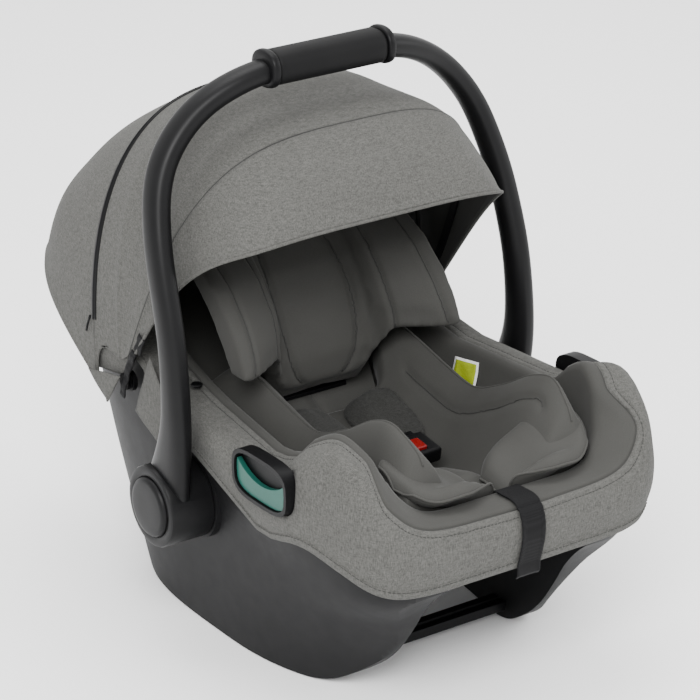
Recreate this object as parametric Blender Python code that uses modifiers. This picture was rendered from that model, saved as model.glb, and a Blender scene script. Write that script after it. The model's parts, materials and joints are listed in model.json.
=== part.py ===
"""Infant car seat: shell on two skids, swinging carry handle, two-bow canopy, padded seat and harness.

Metres, +Z up. The origin is on the floor under the middle of the seat. The foot end faces -Y and the head
end +Y.
"""

from math import atan, cos, exp, pi, radians, sin

import bmesh
import bpy
import numpy as np
from mathutils import Matrix, Vector
from mathutils.bvhtree import BVHTree

# ---------------------------------------------------------------- driving dimensions
GAP = 0.0004  # clearance kept between touching pieces

RING_STEPS = 48  # points round the seat's plan outline
SHELL_WALL = 0.004
SHELL_START_Z = -0.012  # the tub is lofted from here, then cut to the rockers' profile
SHELL_DROP_FRONT, SHELL_DROP_REAR = 0.028, 0.016  # top of the padded rim to the shell's top edge
COVER_THICKNESS = 0.0035
COVER_STANDOFF = 0.0045  # cover's hidden side to the shell's outer wall, at the foot end
REAR_STANDOFF = 0.0008  # the same behind the canopy pivots, where the cover lies tight
OUTLINE_CENTRE_Y = -0.02
OUTLINE_POWER_REAR = 3.4

# The shell's outer wall against height: half width, front end and rear end of its plan outline.
SHELL_HEIGHTS = (0.0, 0.05, 0.10, 0.145, 0.20, 0.30, 0.36)
SHELL_HALF_WIDTHS = (0.146, 0.151, 0.156, 0.161, 0.165, 0.166, 0.166)
SHELL_FRONTS = (-0.215, -0.240, -0.268, -0.296, -0.309, -0.312, -0.312)
SHELL_REARS = (0.196, 0.216, 0.236, 0.250, 0.268, 0.300, 0.312)
FRONT_POWERS = (2.5, 3.0, 4.2, 7.0, 8.0, 8.0, 8.0)  # squareness of the foot end's corners
GUIDE_BULGE = 0.016  # the flanks swell outwards round the belt guides
GUIDE_Y, GUIDE_Z = -0.162, 0.228
BULGE_SPREAD = 0.085

# Side view of the seat: stations along Y, with the top of the padded rim, the hem of the cover and the seat
# surface.
RIM_STATIONS = (
    -0.320, -0.300, -0.272, -0.242, -0.210, -0.175, -0.110,
    -0.050, 0.0, 0.06, 0.12, 0.20, 0.30,
)
RIM_TOPS = (
    0.186, 0.231, 0.268, 0.280, 0.268, 0.243, 0.236,
    0.238, 0.243, 0.258, 0.276, 0.300, 0.318,
)
HEM_STATIONS = (
    -0.320, -0.290, -0.250, -0.205, -0.145, -0.120, -0.080,
    -0.030, 0.010, 0.045, 0.062, 0.075, 0.32,
)
HEM_HEIGHTS = (
    0.143, 0.150, 0.168, 0.180, 0.167, 0.169, 0.181,
    0.196, 0.205, 0.214, 0.236, 0.252, 0.300,
)
SEAT_STATIONS = (-0.27, -0.20, -0.12, -0.06, 0.00, 0.05, 0.10, 0.16, 0.22, 0.28)
SEAT_HEIGHTS = (0.182, 0.152, 0.136, 0.142, 0.168, 0.198, 0.232, 0.268, 0.296, 0.314)
ROOF_STATIONS = (-0.40, -0.27, -0.20, -0.12, -0.03, 0.06, 0.13, 0.20, 0.30, 0.40)
ROOF_HEIGHTS = (0.158, 0.150, 0.118, 0.096, 0.088, 0.098, 0.128, 0.170, 0.232, 0.300)

WELL_STEPS = (0.12, 0.32, 0.54, 0.77, 1.0)  # from the rim down to the floor; shared, so that layers nest
RIM_WIDTH = 0.040  # the padded rim, from flank to seat well
FLOOR_HALF_WIDTH = 0.060
FLOOR_FRONT, FLOOR_REAR = -0.215, 0.235

# Skids
TUNNEL_FRONT_HALF, TUNNEL_REAR_HALF = 0.080, 0.112
SKID_STATIONS = (
    -0.340, -0.285, -0.262, -0.246, -0.223, -0.200, -0.161,
    -0.140, 0.020, 0.110, 0.160, 0.200, 0.300,
)
SKID_BOTTOMS = (
    0.170, 0.133, 0.108, 0.083, 0.051, 0.029, 0.005,
    0.001, 0.001, 0.002, 0.012, 0.060, 0.200,
)
PAD_SIZE = (0.012, 0.033, 0.0034)

# Handle
HUB_Y, HUB_Z = -0.0045, 0.148
HUB_INNER_X, HUB_OUTER_X = 0.1662, 0.2130
HUB_RADIUS = 0.040
BOSS_RADIUS, BOSS_START_X = 0.0425, 0.1535
HUB_BORE = 0.0265
CAP_RADIUS = 0.0295
CAP_SINK = 0.0025  # depth of the recess that the cap sits in
HANDLE_REACH = 0.398  # hub axis to the middle of the grip
HANDLE_STATIONS = (0.0, 0.10, 0.25, 0.40, 0.60, 0.78, 0.87, 0.93, 0.97, 0.992, 1.0)
HANDLE_HALF_SPANS = (0.1950, 0.1975, 0.1990, 0.1982, 0.1955, 0.1820, 0.1600, 0.1350, 0.1070, 0.0840, 0.0640)
HANDLE_BOWS = (0.0, -0.016, -0.030, -0.026, -0.004, 0.020, 0.026, 0.026, 0.020, 0.016, 0.014)
ARM_DEPTHS = (0.0340, 0.0260, 0.0175, 0.0155, 0.0150, 0.0150, 0.0150, 0.0148, 0.0145, 0.0140, 0.0138)
ARM_SHARES = (0.0, 0.05, 0.11, 0.18, 0.28, 0.40, 0.52, 0.63, 0.73, 0.81, 0.87, 0.915, 0.95, 0.975, 0.992, 1.0)
ARM_HALF_THICKNESS = 0.0112
GRIP_HALF_LENGTH = 0.060
GRIP_WALL = 0.0030
COLLAR_LENGTH = 0.009

# Canopy, in polar terms about the axis that both bows turn on
PIVOT_Y, PIVOT_Z = 0.100, 0.230
CANOPY_HALF_WIDTH = 0.1790
CANOPY_SKIN = 0.0016
# Forward of upright
CANOPY_ANGLES = (
    -120.0, -88.0, -75.0, -52.0, -39.5, -24.0,
    -9.5, 5.0, 16.5, 27.0, 36.5, 46.0,
)
CANOPY_RADII = (
    0.230, 0.231, 0.2335, 0.241, 0.2445, 0.253,
    0.2665, 0.2785, 0.2885, 0.297, 0.289, 0.272,
)
CANOPY_POWERS = (
    4.4, 4.2, 4.2, 4.0, 3.6, 3.2,
    2.9, 2.9, 3.1, 3.4, 3.8, 4.6,
)
MID_BOW_ANGLE, FRONT_BOW_ANGLE, HEM_ANGLE = -2.0, 26.8, 45.7
HEM_SWEEP = 8.5  # the visor's hem runs back by this many degrees at the sides
SKIRT_START, SKIRT_SLOPE, SKIRT_TOP = (0.130, 0.206), 0.60, 0.300  # side view of the canopy's lower rear hem
PANEL_END, REAR_PANEL_END = 0.030, 0.034  # how far short of the pivots the panels stop, in radians of turn
ZIP_Y, ZIP_WIDTH, ZIP_THICKNESS, ZIP_LIFT = 0.147, 0.005, 0.0010, 0.0008
SEAM_GAP = 0.0002  # each panel's edge to the zip's plane
ZIP_TURN = pi / 2 - 0.10
STUD_FOOT_X = 0.1664  # just clear of the shell's wall
BOW_WIDTH, BOW_THICKNESS = 0.009, 0.0018
MID_BOW_X, FRONT_BOW_X = 0.1726, 0.1750

CANOPY_STUD_X = 0.1712  # outer face of the stud that the bow eyes ride against
CANOPY_AXLE_X = 0.1768

# Handle release buttons
BUTTON_WIDTH, BUTTON_HEIGHT = 0.018, 0.022
BUTTON_X = 0.1920
BUTTON_TILT = radians(18)

# Base
CROSSBAR_Y, CROSSBAR_Z, CROSSBAR_HEIGHT, CROSSBAR_DEPTH = -0.153, 0.0195, 0.010, 0.018
FRONT_PAD_Y, REAR_PAD_Y, PAD_X = -0.085, 0.085, 0.125
SOCKET_Y, SOCKET_Z, SOCKET_LENGTH, SOCKET_HEIGHT = -0.062, 0.112, 0.046, 0.026
LEVER_Z, LEVER_HALF_WIDTH, LEVER_HEIGHT = 0.215, 0.048, 0.034

# Belt guides in the flanks
GUIDE_LENGTH, GUIDE_HEIGHT, GUIDE_DEPTH = 0.090, 0.050, 0.014
GUIDE_LIP = 0.0045  # rim left round the dish
INSERT_DEPTH = 0.0050
CRESCENT_RADIUS, CRESCENT_RISE = 0.0600, 0.0560  # the round cut that leaves the coloured crescent
GUIDE_FACE_X = 0.1925

# Infant insert: height of its side bolsters along the seat, and the cushion between them
INSERT_STATIONS = (-0.262, -0.248, -0.213, -0.190, -0.140, -0.090, -0.045, 0.000, 0.031, 0.055, 0.070)
INSERT_CRESTS = (0.240, 0.258, 0.277, 0.271, 0.243, 0.224, 0.232, 0.243, 0.248, 0.236, 0.216)
INSERT_CREST_X, INSERT_EDGE_X = 0.096, 0.113
INSERT_FRONT_Y, INSERT_REAR_Y = -0.236, 0.012  # where the cushion between the bolsters starts and ends
INSERT_FILL = 0.024
PAD_LIFT = 0.0012  # soft piece to the surface it lies on

# Headrest from its lower edge upwards, as Y and Z of each row: face down the middle, on a wing's inner edge
# and on its outer edge, then the back down the middle and behind a wing
FACE_MIDDLE_Y = (0.014, 0.016, 0.023, 0.036, 0.055, 0.080, 0.104)
FACE_MIDDLE_Z = (0.216, 0.238, 0.265, 0.295, 0.322, 0.346, 0.362)
FACE_INNER_Y = (-0.010, -0.008, -0.003, 0.007, 0.032, 0.062, 0.094)
FACE_INNER_Z = (0.262, 0.270, 0.284, 0.302, 0.332, 0.354, 0.368)
FACE_OUTER_Y = (-0.050, -0.046, -0.038, -0.024, 0.006, 0.042, 0.084)
FACE_OUTER_Z = (0.262, 0.276, 0.292, 0.310, 0.338, 0.357, 0.368)
BACK_MIDDLE_Y = (0.034, 0.052, 0.074, 0.094, 0.112, 0.128, 0.136)
BACK_MIDDLE_Z = (0.200, 0.211, 0.226, 0.240, 0.253, 0.270, 0.300)
BACK_WING_Y = (0.016, 0.024, 0.034, 0.046, 0.064, 0.086, 0.108)
BACK_WING_Z = (0.262, 0.274, 0.288, 0.302, 0.320, 0.336, 0.350)
FACE_MIDDLE = tuple(zip(FACE_MIDDLE_Y, FACE_MIDDLE_Z))
FACE_INNER = tuple(zip(FACE_INNER_Y, FACE_INNER_Z))
FACE_OUTER = tuple(zip(FACE_OUTER_Y, FACE_OUTER_Z))
BACK_MIDDLE = tuple(zip(BACK_MIDDLE_Y, BACK_MIDDLE_Z))
BACK_WING = tuple(zip(BACK_WING_Y, BACK_WING_Z))
RECESS_HALF, WING_INNER_X, WING_OUTER_X = 0.047, 0.062, 0.122

# Harness
HARNESS_WIDTH, WEBBING = 0.028, 0.0016
HARNESS_PATH = ((0.0310, 0.004), (0.030, -0.030), (0.0285, -0.064), (0.023, -0.092), (0.0175, -0.106))
SHOULDER_PAD_PATH = ((0.0315, 0.004), (0.0305, -0.026), (0.0293, -0.058), (0.0285, -0.088))
SHOULDER_PAD_WIDTH, SHOULDER_PAD_FILL = 0.054, 0.017
CROTCH_PAD_PATH = ((0.0, -0.150), (0.0, -0.174), (0.0, -0.201), (0.0, -0.228))
CROTCH_PAD_WIDTH, CROTCH_PAD_FILL = 0.060, 0.024
BUCKLE_CENTRE, BUCKLE_SIZE, BUCKLE_TILT = (0.0, -0.1265, 0.1935), (0.050, 0.036, 0.016), radians(8)
BUTTON_Y, BUTTON_Z = -0.004, 0.0078  # middle of the release button from the middle of the buckle
TONGUE_X = 0.0125
ADJUSTER_Y = -0.2575
LIP_STRAP_WIDTH, LIP_STRAP_LIFT = 0.026, 0.0028
LIP_CENTRE = (-0.262, 0.176)  # (y, z) inside the padded lip that its strap goes round


# ---------------------------------------------------------------- scene and materials
def clear_scene():
    for obj in list(bpy.data.objects):
        bpy.data.objects.remove(obj, do_unlink=True)


def collection(name):
    made = bpy.data.collections.new(name)
    bpy.context.scene.collection.children.link(made)
    return made


def material(name, colour, roughness, metallic=0.0):
    made = bpy.data.materials.new(name)
    made.use_nodes = True
    shader = made.node_tree.nodes["Principled BSDF"]
    shader.inputs["Base Color"].default_value = (*colour, 1.0)
    shader.inputs["Roughness"].default_value = roughness
    shader.inputs["Metallic"].default_value = metallic
    return made


clear_scene()
PARTS = collection("infant_car_seat")
CUTTERS = collection("cutters")
SHELL_PLASTIC = material("shell_plastic", (0.045, 0.045, 0.048), 0.5)
HANDLE_PLASTIC = material("handle_plastic", (0.035, 0.035, 0.037), 0.42)
SOFT_GRIP = material("soft_grip", (0.02, 0.02, 0.021), 0.65)
BLACK_PLASTIC = material("black_plastic", (0.015, 0.015, 0.016), 0.45)
TEAL_PLASTIC = material("teal_plastic", (0.05, 0.19, 0.15), 0.4)
RED_PLASTIC = material("red_plastic", (0.45, 0.02, 0.02), 0.35)
FOAM = material("foam", (0.08, 0.08, 0.08), 0.9)
MELANGE = material("melange_fabric", (0.2, 0.2, 0.19), 0.9)
KNIT = material("knit_fabric", (0.14, 0.14, 0.13), 0.85)
WEBBING_BLACK = material("webbing", (0.02, 0.02, 0.021), 0.7)
STEEL = material("steel", (0.6, 0.6, 0.6), 0.3, 1.0)


# ---------------------------------------------------------------- mesh tools
def place(name, mesh, look, into=None):
    mesh.materials.append(look)
    obj = bpy.data.objects.new(name, mesh)
    (into or PARTS).objects.link(obj)
    if into is CUTTERS:
        obj.hide_render = True
        obj.display_type = "WIRE"
    return obj


def mesh_from(name, points, faces, smooth_angle=40):
    mesh = bpy.data.meshes.new(name)
    mesh.from_pydata([tuple(p) for p in points], [], faces)
    mesh.validate()
    work = bmesh.new()
    work.from_mesh(mesh)
    bmesh.ops.recalc_face_normals(work, faces=work.faces)
    work.to_mesh(mesh)
    work.free()
    mesh.shade_smooth()
    mesh.set_sharp_from_angle(angle=radians(smooth_angle))
    return mesh


def mirror_cap(ring, steps):
    """Faces across a ring whose points i and steps - i mirror each other in X."""
    faces = [(ring, ring + 1, ring + steps - 1)]
    for i in range(1, steps // 2 - 1):
        faces.append((ring + i, ring + i + 1, ring + steps - i - 1, ring + steps - i))
    half = ring + steps // 2
    faces.append((half - 1, half, half + 1))
    return faces


def loft(name, rings, look, into=None, mirrored=False, closed=False, smooth_angle=40):
    """A closed body through rings of equally many points, capped at both ends unless it closes on itself."""
    steps = len(rings[0])
    points = [p for ring in rings for p in ring]
    faces = []
    spans = len(rings) if closed else len(rings) - 1
    for r in range(spans):
        here, there = r * steps, (r + 1) % len(rings) * steps
        for i in range(steps):
            j = (i + 1) % steps
            faces.append((here + i, here + j, there + j, there + i))
    if not closed:
        last = (len(rings) - 1) * steps
        if mirrored:
            faces += mirror_cap(0, steps) + mirror_cap(last, steps)
        else:
            faces += [tuple(range(steps)), tuple(range(last, last + steps))]
    return place(name, mesh_from(name, points, faces, smooth_angle), look, into)


def slab(name, top, bottom, look, smooth_angle=40):
    """A closed body between two grids of points, rows by columns."""
    rows, columns = len(top), len(top[0])
    points = [p for grid in (top, bottom) for row in grid for p in row]
    under = rows * columns
    faces = []
    for r in range(rows - 1):
        for c in range(columns - 1):
            a = r * columns + c
            quad = (a, a + 1, a + columns + 1, a + columns)
            faces += [quad, tuple(under + v for v in reversed(quad))]
    edge = [c for c in range(columns)]
    edge += [r * columns + columns - 1 for r in range(1, rows)]
    edge += [(rows - 1) * columns + c for c in range(columns - 2, -1, -1)]
    edge += [r * columns for r in range(rows - 2, 0, -1)]
    for a, b in zip(edge, edge[1:] + edge[:1]):
        faces.append((a, b, under + b, under + a))
    return place(name, mesh_from(name, points, faces, smooth_angle), look)


def cylinder(name, radius, start, end, look, into=None, steps=32, bevel=0.0):
    """A round bar from start to end."""
    start, end = Vector(start), Vector(end)
    work = bmesh.new()
    depth = (end - start).length
    bmesh.ops.create_cone(work, cap_ends=True, segments=steps, radius1=radius, radius2=radius, depth=depth)
    turn = Vector((0, 0, 1)).rotation_difference((end - start).normalized()).to_matrix().to_4x4()
    bmesh.ops.transform(work, matrix=Matrix.Translation((start + end) / 2) @ turn, verts=work.verts)
    mesh = bpy.data.meshes.new(name)
    work.to_mesh(mesh)
    work.free()
    obj = place(name, mesh, look, into)
    if bevel:
        add_bevel(obj, bevel)
    mesh.shade_smooth()
    mesh.set_sharp_from_angle(angle=radians(40))
    return obj


def block(name, size, centre, look, into=None, turn=None, bevel=0.0, segments=2):
    """A box with rounded edges; turn is a rotation matrix."""
    work = bmesh.new()
    bmesh.ops.create_cube(work, size=1.0)
    bmesh.ops.transform(work, matrix=Matrix.Diagonal((*size, 1.0)), verts=work.verts)
    if turn is not None:
        bmesh.ops.transform(work, matrix=turn.to_4x4(), verts=work.verts)
    bmesh.ops.translate(work, vec=Vector(centre), verts=work.verts)
    mesh = bpy.data.meshes.new(name)
    work.to_mesh(mesh)
    work.free()
    obj = place(name, mesh, look, into)
    if bevel:
        add_bevel(obj, bevel, segments)
    return obj


def add_bevel(obj, width, segments=2):
    rounding = obj.modifiers.new("rounding", "BEVEL")
    rounding.width = width
    rounding.segments = segments
    rounding.limit_method = "ANGLE"
    rounding.angle_limit = radians(50)


def combine(obj, other, how="DIFFERENCE"):
    """A Boolean with a helper, which goes to the cutters."""
    if other.name in PARTS.objects:
        PARTS.objects.unlink(other)
        CUTTERS.objects.link(other)
    other.hide_render = True
    other.display_type = "WIRE"
    change = obj.modifiers.new(how.lower(), "BOOLEAN")
    change.operation = how
    change.solver = "EXACT"
    change.object = other
    return obj


def curve_through(stations, values):
    """A smooth function through the stations: monotone cubic, so it never overshoots."""
    xs, ys = np.array(stations), np.array(values)
    widths, slopes = np.diff(xs), np.diff(ys) / np.diff(xs)
    tangents = np.concatenate([[slopes[0]], (slopes[:-1] + slopes[1:]) / 2, [slopes[-1]]])
    for i in range(1, len(xs) - 1):
        if slopes[i - 1] * slopes[i] <= 0:
            tangents[i] = 0.0
        else:
            tangents[i] = 2 / (1 / slopes[i - 1] + 1 / slopes[i])

    def value(x):
        x = min(max(x, xs[0]), xs[-1])
        i = min(int(np.searchsorted(xs, x, side="right")) - 1, len(widths) - 1)
        t = (x - xs[i]) / widths[i]
        h = widths[i]
        return float(
            ys[i] * (1 + 2 * t) * (1 - t) ** 2
            + h * tangents[i] * t * (1 - t) ** 2
            + ys[i + 1] * t * t * (3 - 2 * t)
            + h * tangents[i + 1] * t * t * (t - 1)
        )

    return value


def signed_power(value, power):
    return (1 if value >= 0 else -1) * abs(value) ** power


def smooth_step(value, low, high):
    t = min(max((value - low) / (high - low), 0.0), 1.0)
    return t * t * (3 - 2 * t)


half_width_at = curve_through(SHELL_HEIGHTS, SHELL_HALF_WIDTHS)
front_at = curve_through(SHELL_HEIGHTS, SHELL_FRONTS)
rear_at = curve_through(SHELL_HEIGHTS, SHELL_REARS)
front_power_at = curve_through(SHELL_HEIGHTS, FRONT_POWERS)
rim_top_at = curve_through(RIM_STATIONS, RIM_TOPS)
hem_at = curve_through(HEM_STATIONS, HEM_HEIGHTS)
seat_height_at = curve_through(SEAT_STATIONS, SEAT_HEIGHTS)
roof_at = curve_through(ROOF_STATIONS, ROOF_HEIGHTS)


# ---------------------------------------------------------------- the seat's surfaces
def outline(angle, z, offset=0.0):
    """Plan outline of the outer wall at a height: angle 0 is the foot end, pi the head end."""
    power = front_power_at(z) if cos(angle) > 0 else OUTLINE_POWER_REAR
    half, front, rear = half_width_at(z) + offset, front_at(z) - offset, rear_at(z) + offset
    reach = OUTLINE_CENTRE_Y - front if cos(angle) > 0 else rear - OUTLINE_CENTRE_Y
    y = OUTLINE_CENTRE_Y - reach * signed_power(cos(angle), 2 / power)
    x = half * signed_power(sin(angle), 2 / power)
    swell = GUIDE_BULGE * exp(-(((y - GUIDE_Y) / BULGE_SPREAD) ** 2)) * smooth_step(z, 0.12, 0.21)
    x += swell * signed_power(sin(angle), 2)
    return x, y


def ring_angles():
    return [2 * pi * i / RING_STEPS for i in range(RING_STEPS)]


def height_on_outline(angle, profile, offset=0.0):
    """The height where the outer wall meets a side-view profile."""
    z = 0.2
    for _ in range(6):
        z = profile(outline(angle, z, offset)[1])
    return z


def lowered(profile, drop):
    return lambda y: profile(y) - drop


def shell_top_at(y):
    drop = SHELL_DROP_FRONT + (SHELL_DROP_REAR - SHELL_DROP_FRONT) * smooth_step(y, -0.05, 0.05)
    return rim_top_at(y) - drop


def well_point(angle, s, inset, base, lift=0.0, top=None):
    """Inside of a well: s is 0 at the rim, 1 on the floor; inset moves it inwards, lift raises the floor."""
    z_rim = height_on_outline(angle, top or rim_top_at)
    x_floor = FLOOR_HALF_WIDTH * signed_power(sin(angle), 0.8)
    middle = (FLOOR_FRONT + FLOOR_REAR) / 2
    y_floor = middle - (FLOOR_REAR - FLOOR_FRONT) / 2 * signed_power(cos(angle), 0.8)
    z_floor = base(y_floor) + lift
    turn = s * pi / 2
    across = cos(turn) ** (2 / 2.6)
    down = sin(turn) ** (2 / 1.9)
    z = z_rim + (z_floor - z_rim) * down
    x_wall, y_wall = outline(angle, z, -inset)
    x = x_floor + (x_wall - x_floor) * across
    y = y_floor + (y_wall - y_floor) * across
    return x, y, z


def well_ring(s, inset, base, lift=0.0, top=None):
    return [well_point(angle, s, inset, base, lift, top) for angle in ring_angles()]


# ---------------------------------------------------------------- shell, foam and cover
def make_shell():
    """Bucket and rocker skids in one moulding."""
    levels = (0.0, 0.12, 0.3, 0.5, 0.7, 0.86, 1.0)
    outside = []
    for level in levels:
        ring = []
        for angle in ring_angles():
            top = height_on_outline(angle, shell_top_at)
            z = SHELL_START_Z + (top - SHELL_START_Z) * level
            ring.append((*outline(angle, z), z))
        outside.append(ring)
    inside = [well_ring(s, SHELL_WALL, roof_at, SHELL_WALL, shell_top_at) for s in (*WELL_STEPS[::-1], 0.0)]
    shell = loft("shell", inside + outside[::-1], SHELL_PLASTIC, mirrored=True)
    combine(shell, tunnel_cutter())
    combine(shell, skid_cutter())
    for side, name in ((-1, "left"), (1, "right")):
        boss = cylinder(f"hub_boss_{name}", BOSS_RADIUS, (side * BOSS_START_X, HUB_Y, HUB_Z),
                        (side * (HUB_INNER_X - GAP), HUB_Y, HUB_Z), SHELL_PLASTIC, CUTTERS)
        combine(shell, boss, "UNION")
    return shell


def tunnel_cutter():
    """The space under the seat between the skids, open at both ends."""
    stations = np.linspace(-0.40, 0.40, 17)
    rings = []
    for y in stations:
        half = tunnel_half_at(y)
        top = roof_at(y)
        rings.append([(-half, y, -0.1), (-half, y, top - 0.02), (-half + 0.02, y, top),
                      (half - 0.02, y, top), (half, y, top - 0.02), (half, y, -0.1)])
    return loft("tunnel_cutter", rings, SHELL_PLASTIC, CUTTERS)


def skid_cutter():
    """Everything below the rockers' side profile."""
    bottom = curve_through(SKID_STATIONS, SKID_BOTTOMS)
    rings = []
    for y in np.linspace(-0.34, 0.30, 41):
        z = bottom(y)
        rings.append([(-0.3, y, -0.1), (-0.3, y, z), (0.3, y, z), (0.3, y, -0.1)])
    return loft("skid_cutter", rings, SHELL_PLASTIC, CUTTERS)


def make_foam_liner():
    """Energy-absorbing liner between the shell and the cover."""
    skin = COVER_THICKNESS + 2 * GAP
    wall = SHELL_WALL + 3 * GAP
    outside = [well_ring(s, wall, roof_at, wall, shell_top_at) for s in (*WELL_STEPS[::-1], 0.0)]
    under_cover = lowered(rim_top_at, 0.0075)
    inside = [well_ring(s, RIM_WIDTH - skin, seat_height_at, -skin, under_cover) for s in WELL_STEPS]
    foam = loft("foam_liner", outside + inside, FOAM, mirrored=True)
    for side, word in ((-1, "left"), (1, "right")):
        start = (side * (BOSS_START_X - 5 * GAP), HUB_Y, HUB_Z)
        end = (side * HUB_INNER_X, HUB_Y, HUB_Z)
        room = cylinder(f"boss_room_{word}", BOSS_RADIUS + 2 * GAP, start, end, FOAM, CUTTERS)
        combine(foam, room)


def cover_standoff(y):
    return COVER_STANDOFF + (REAR_STANDOFF - COVER_STANDOFF) * smooth_step(y, -0.05, 0.05)


def cover_flank(level, thickness):
    """One ring of the cover's outer flank: level 0 is the hem, 1 the crest of the rim."""
    ring = []
    for angle in ring_angles():
        offset = cover_standoff(outline(angle, 0.2)[1]) + thickness
        hem = height_on_outline(angle, hem_at)
        top = height_on_outline(angle, rim_top_at) - (COVER_THICKNESS - thickness)
        z = hem + (top - hem) * sin(level * pi / 2)
        lean = 0.5 * RIM_WIDTH * (1 - cos(level * pi / 2)) ** 1.6
        x, y = outline(angle, z, offset - lean)
        ring.append((x, y, z))
    return ring


def make_seat_cover():
    """Sewn cover: outer flank, over the rim and down into the seat well."""
    levels = (0.0, 0.35, 0.62, 0.84, 1.0)
    seen = [cover_flank(level, COVER_THICKNESS) for level in levels]
    seen += [well_ring(s, RIM_WIDTH, seat_height_at) for s in WELL_STEPS]
    hidden = [cover_flank(level, 0.0) for level in levels]
    skin = COVER_THICKNESS
    under = lowered(rim_top_at, 0.0045)
    hidden += [well_ring(s, RIM_WIDTH - skin, seat_height_at, -skin, under) for s in WELL_STEPS]
    cover = loft("seat_cover", seen[::-1] + hidden, MELANGE, mirrored=True)
    return cover


# ---------------------------------------------------------------- base
def tunnel_half_at(y):
    return TUNNEL_FRONT_HALF + (TUNNEL_REAR_HALF - TUNNEL_FRONT_HALF) * smooth_step(y, -0.28, 0.05)


def make_crossbar():
    """A flat bar between the skids with a raised ledge along its rear half."""
    half = tunnel_half_at(CROSSBAR_Y - CROSSBAR_DEPTH / 2) - 0.0012
    size = (2 * half, CROSSBAR_DEPTH, CROSSBAR_HEIGHT)
    bar = block("front_crossbar", size, (0, CROSSBAR_Y, CROSSBAR_Z), BLACK_PLASTIC, bevel=0.0012)
    ledge_size = (2 * half - 0.004, CROSSBAR_DEPTH / 2, CROSSBAR_HEIGHT * 0.5)
    ledge_centre = (0, CROSSBAR_Y + CROSSBAR_DEPTH / 5, CROSSBAR_Z + CROSSBAR_HEIGHT / 2)
    ledge = block("crossbar_ledge", ledge_size, ledge_centre, BLACK_PLASTIC, CUTTERS)
    combine(bar, ledge, "UNION")


def make_foot_pads():
    """Rubber pads let into the underside of each skid."""
    for side, word in ((-1, "left"), (1, "right")):
        for y, end in ((FRONT_PAD_Y, "front"), (REAR_PAD_Y, "rear")):
            room = (PAD_SIZE[0] + 0.001, PAD_SIZE[1] + 0.001, 2 * (PAD_SIZE[2] + GAP))
            pocket = block(f"pad_pocket_{end}_{word}", room, (side * PAD_X, y, 0.0), BLACK_PLASTIC, CUTTERS)
            combine(bpy.data.objects["shell"], pocket)
            block(f"foot_pad_{end}_{word}", PAD_SIZE, (side * PAD_X, y, PAD_SIZE[2] / 2), BLACK_PLASTIC)


# ---------------------------------------------------------------- fittings on the shell's walls
def wall_x(y, z, offset=0.0):
    """Half width of the outer wall at a station and height."""
    low, high = 0.02, pi - 0.02
    for _ in range(30):
        angle = (low + high) / 2
        if outline(angle, z, offset)[1] < y:
            low = angle
        else:
            high = angle
    return outline(angle, z, offset)[0]


def rounded(u, v, roundness):
    """A square's point (u, v) moved into a square with rounded corners; roundness 1 gives a disc."""
    return u * (1 - roundness * v * v / 2) ** 0.5, v * (1 - roundness * u * u / 2) ** 0.5


def wall_plate(name, side, centre, size, near, far, look, roundness=0.5, steps=7):
    """A rounded plate that follows the flank between two offsets from the outer wall."""
    grids = []
    for offset in (far, near):
        grid = []
        for v in np.linspace(-1, 1, steps):
            row = []
            for u in np.linspace(-1, 1, steps):
                a, b = rounded(u, v, roundness)
                y, z = centre[0] + a * size[0] / 2, centre[1] + b * size[1] / 2
                row.append((side * wall_x(y, z, offset), y, z))
            grid.append(row)
        grids.append(grid)
    return slab(name, grids[0], grids[1], look)


def make_adapter_sockets():
    """A slot below the front of each hub for a stroller adapter, with a black liner set into it."""
    for side, word in ((-1, "left"), (1, "right")):
        opening = rounded_plate(f"socket_opening_{word}", side, (side * 0.157, SOCKET_Y, SOCKET_Z),
                                (0.016, SOCKET_LENGTH, SOCKET_HEIGHT), BLACK_PLASTIC, CUTTERS)
        combine(bpy.data.objects["shell"], opening)
        size = (SOCKET_LENGTH - 0.0016, SOCKET_HEIGHT - 0.0016)
        wall_plate(f"adapter_socket_{word}", side, (SOCKET_Y, SOCKET_Z), size, -SHELL_WALL + GAP, -0.0016,
                   BLACK_PLASTIC, roundness=0.8, steps=5)


def make_release_lever():
    """Lever across the back of the shell; it is pulled up to free the seat from its base."""
    grids = []
    for lift in (0.0135, 0.0015):
        grid = []
        for v in np.linspace(-1, 1, 7):
            row = []
            for u in np.linspace(-1, 1, 11):
                a, b = rounded(u, v, 0.5)
                x, z = a * LEVER_HALF_WIDTH, LEVER_Z + b * LEVER_HEIGHT / 2
                swell = lift if lift < 0.01 else lift - 0.004 * (1 - abs(b))
                row.append((x, rear_at(z) + swell, z))
            grid.append(row)
        grids.append(grid)
    slab("base_release_lever", grids[0], grids[1], BLACK_PLASTIC)


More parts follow.
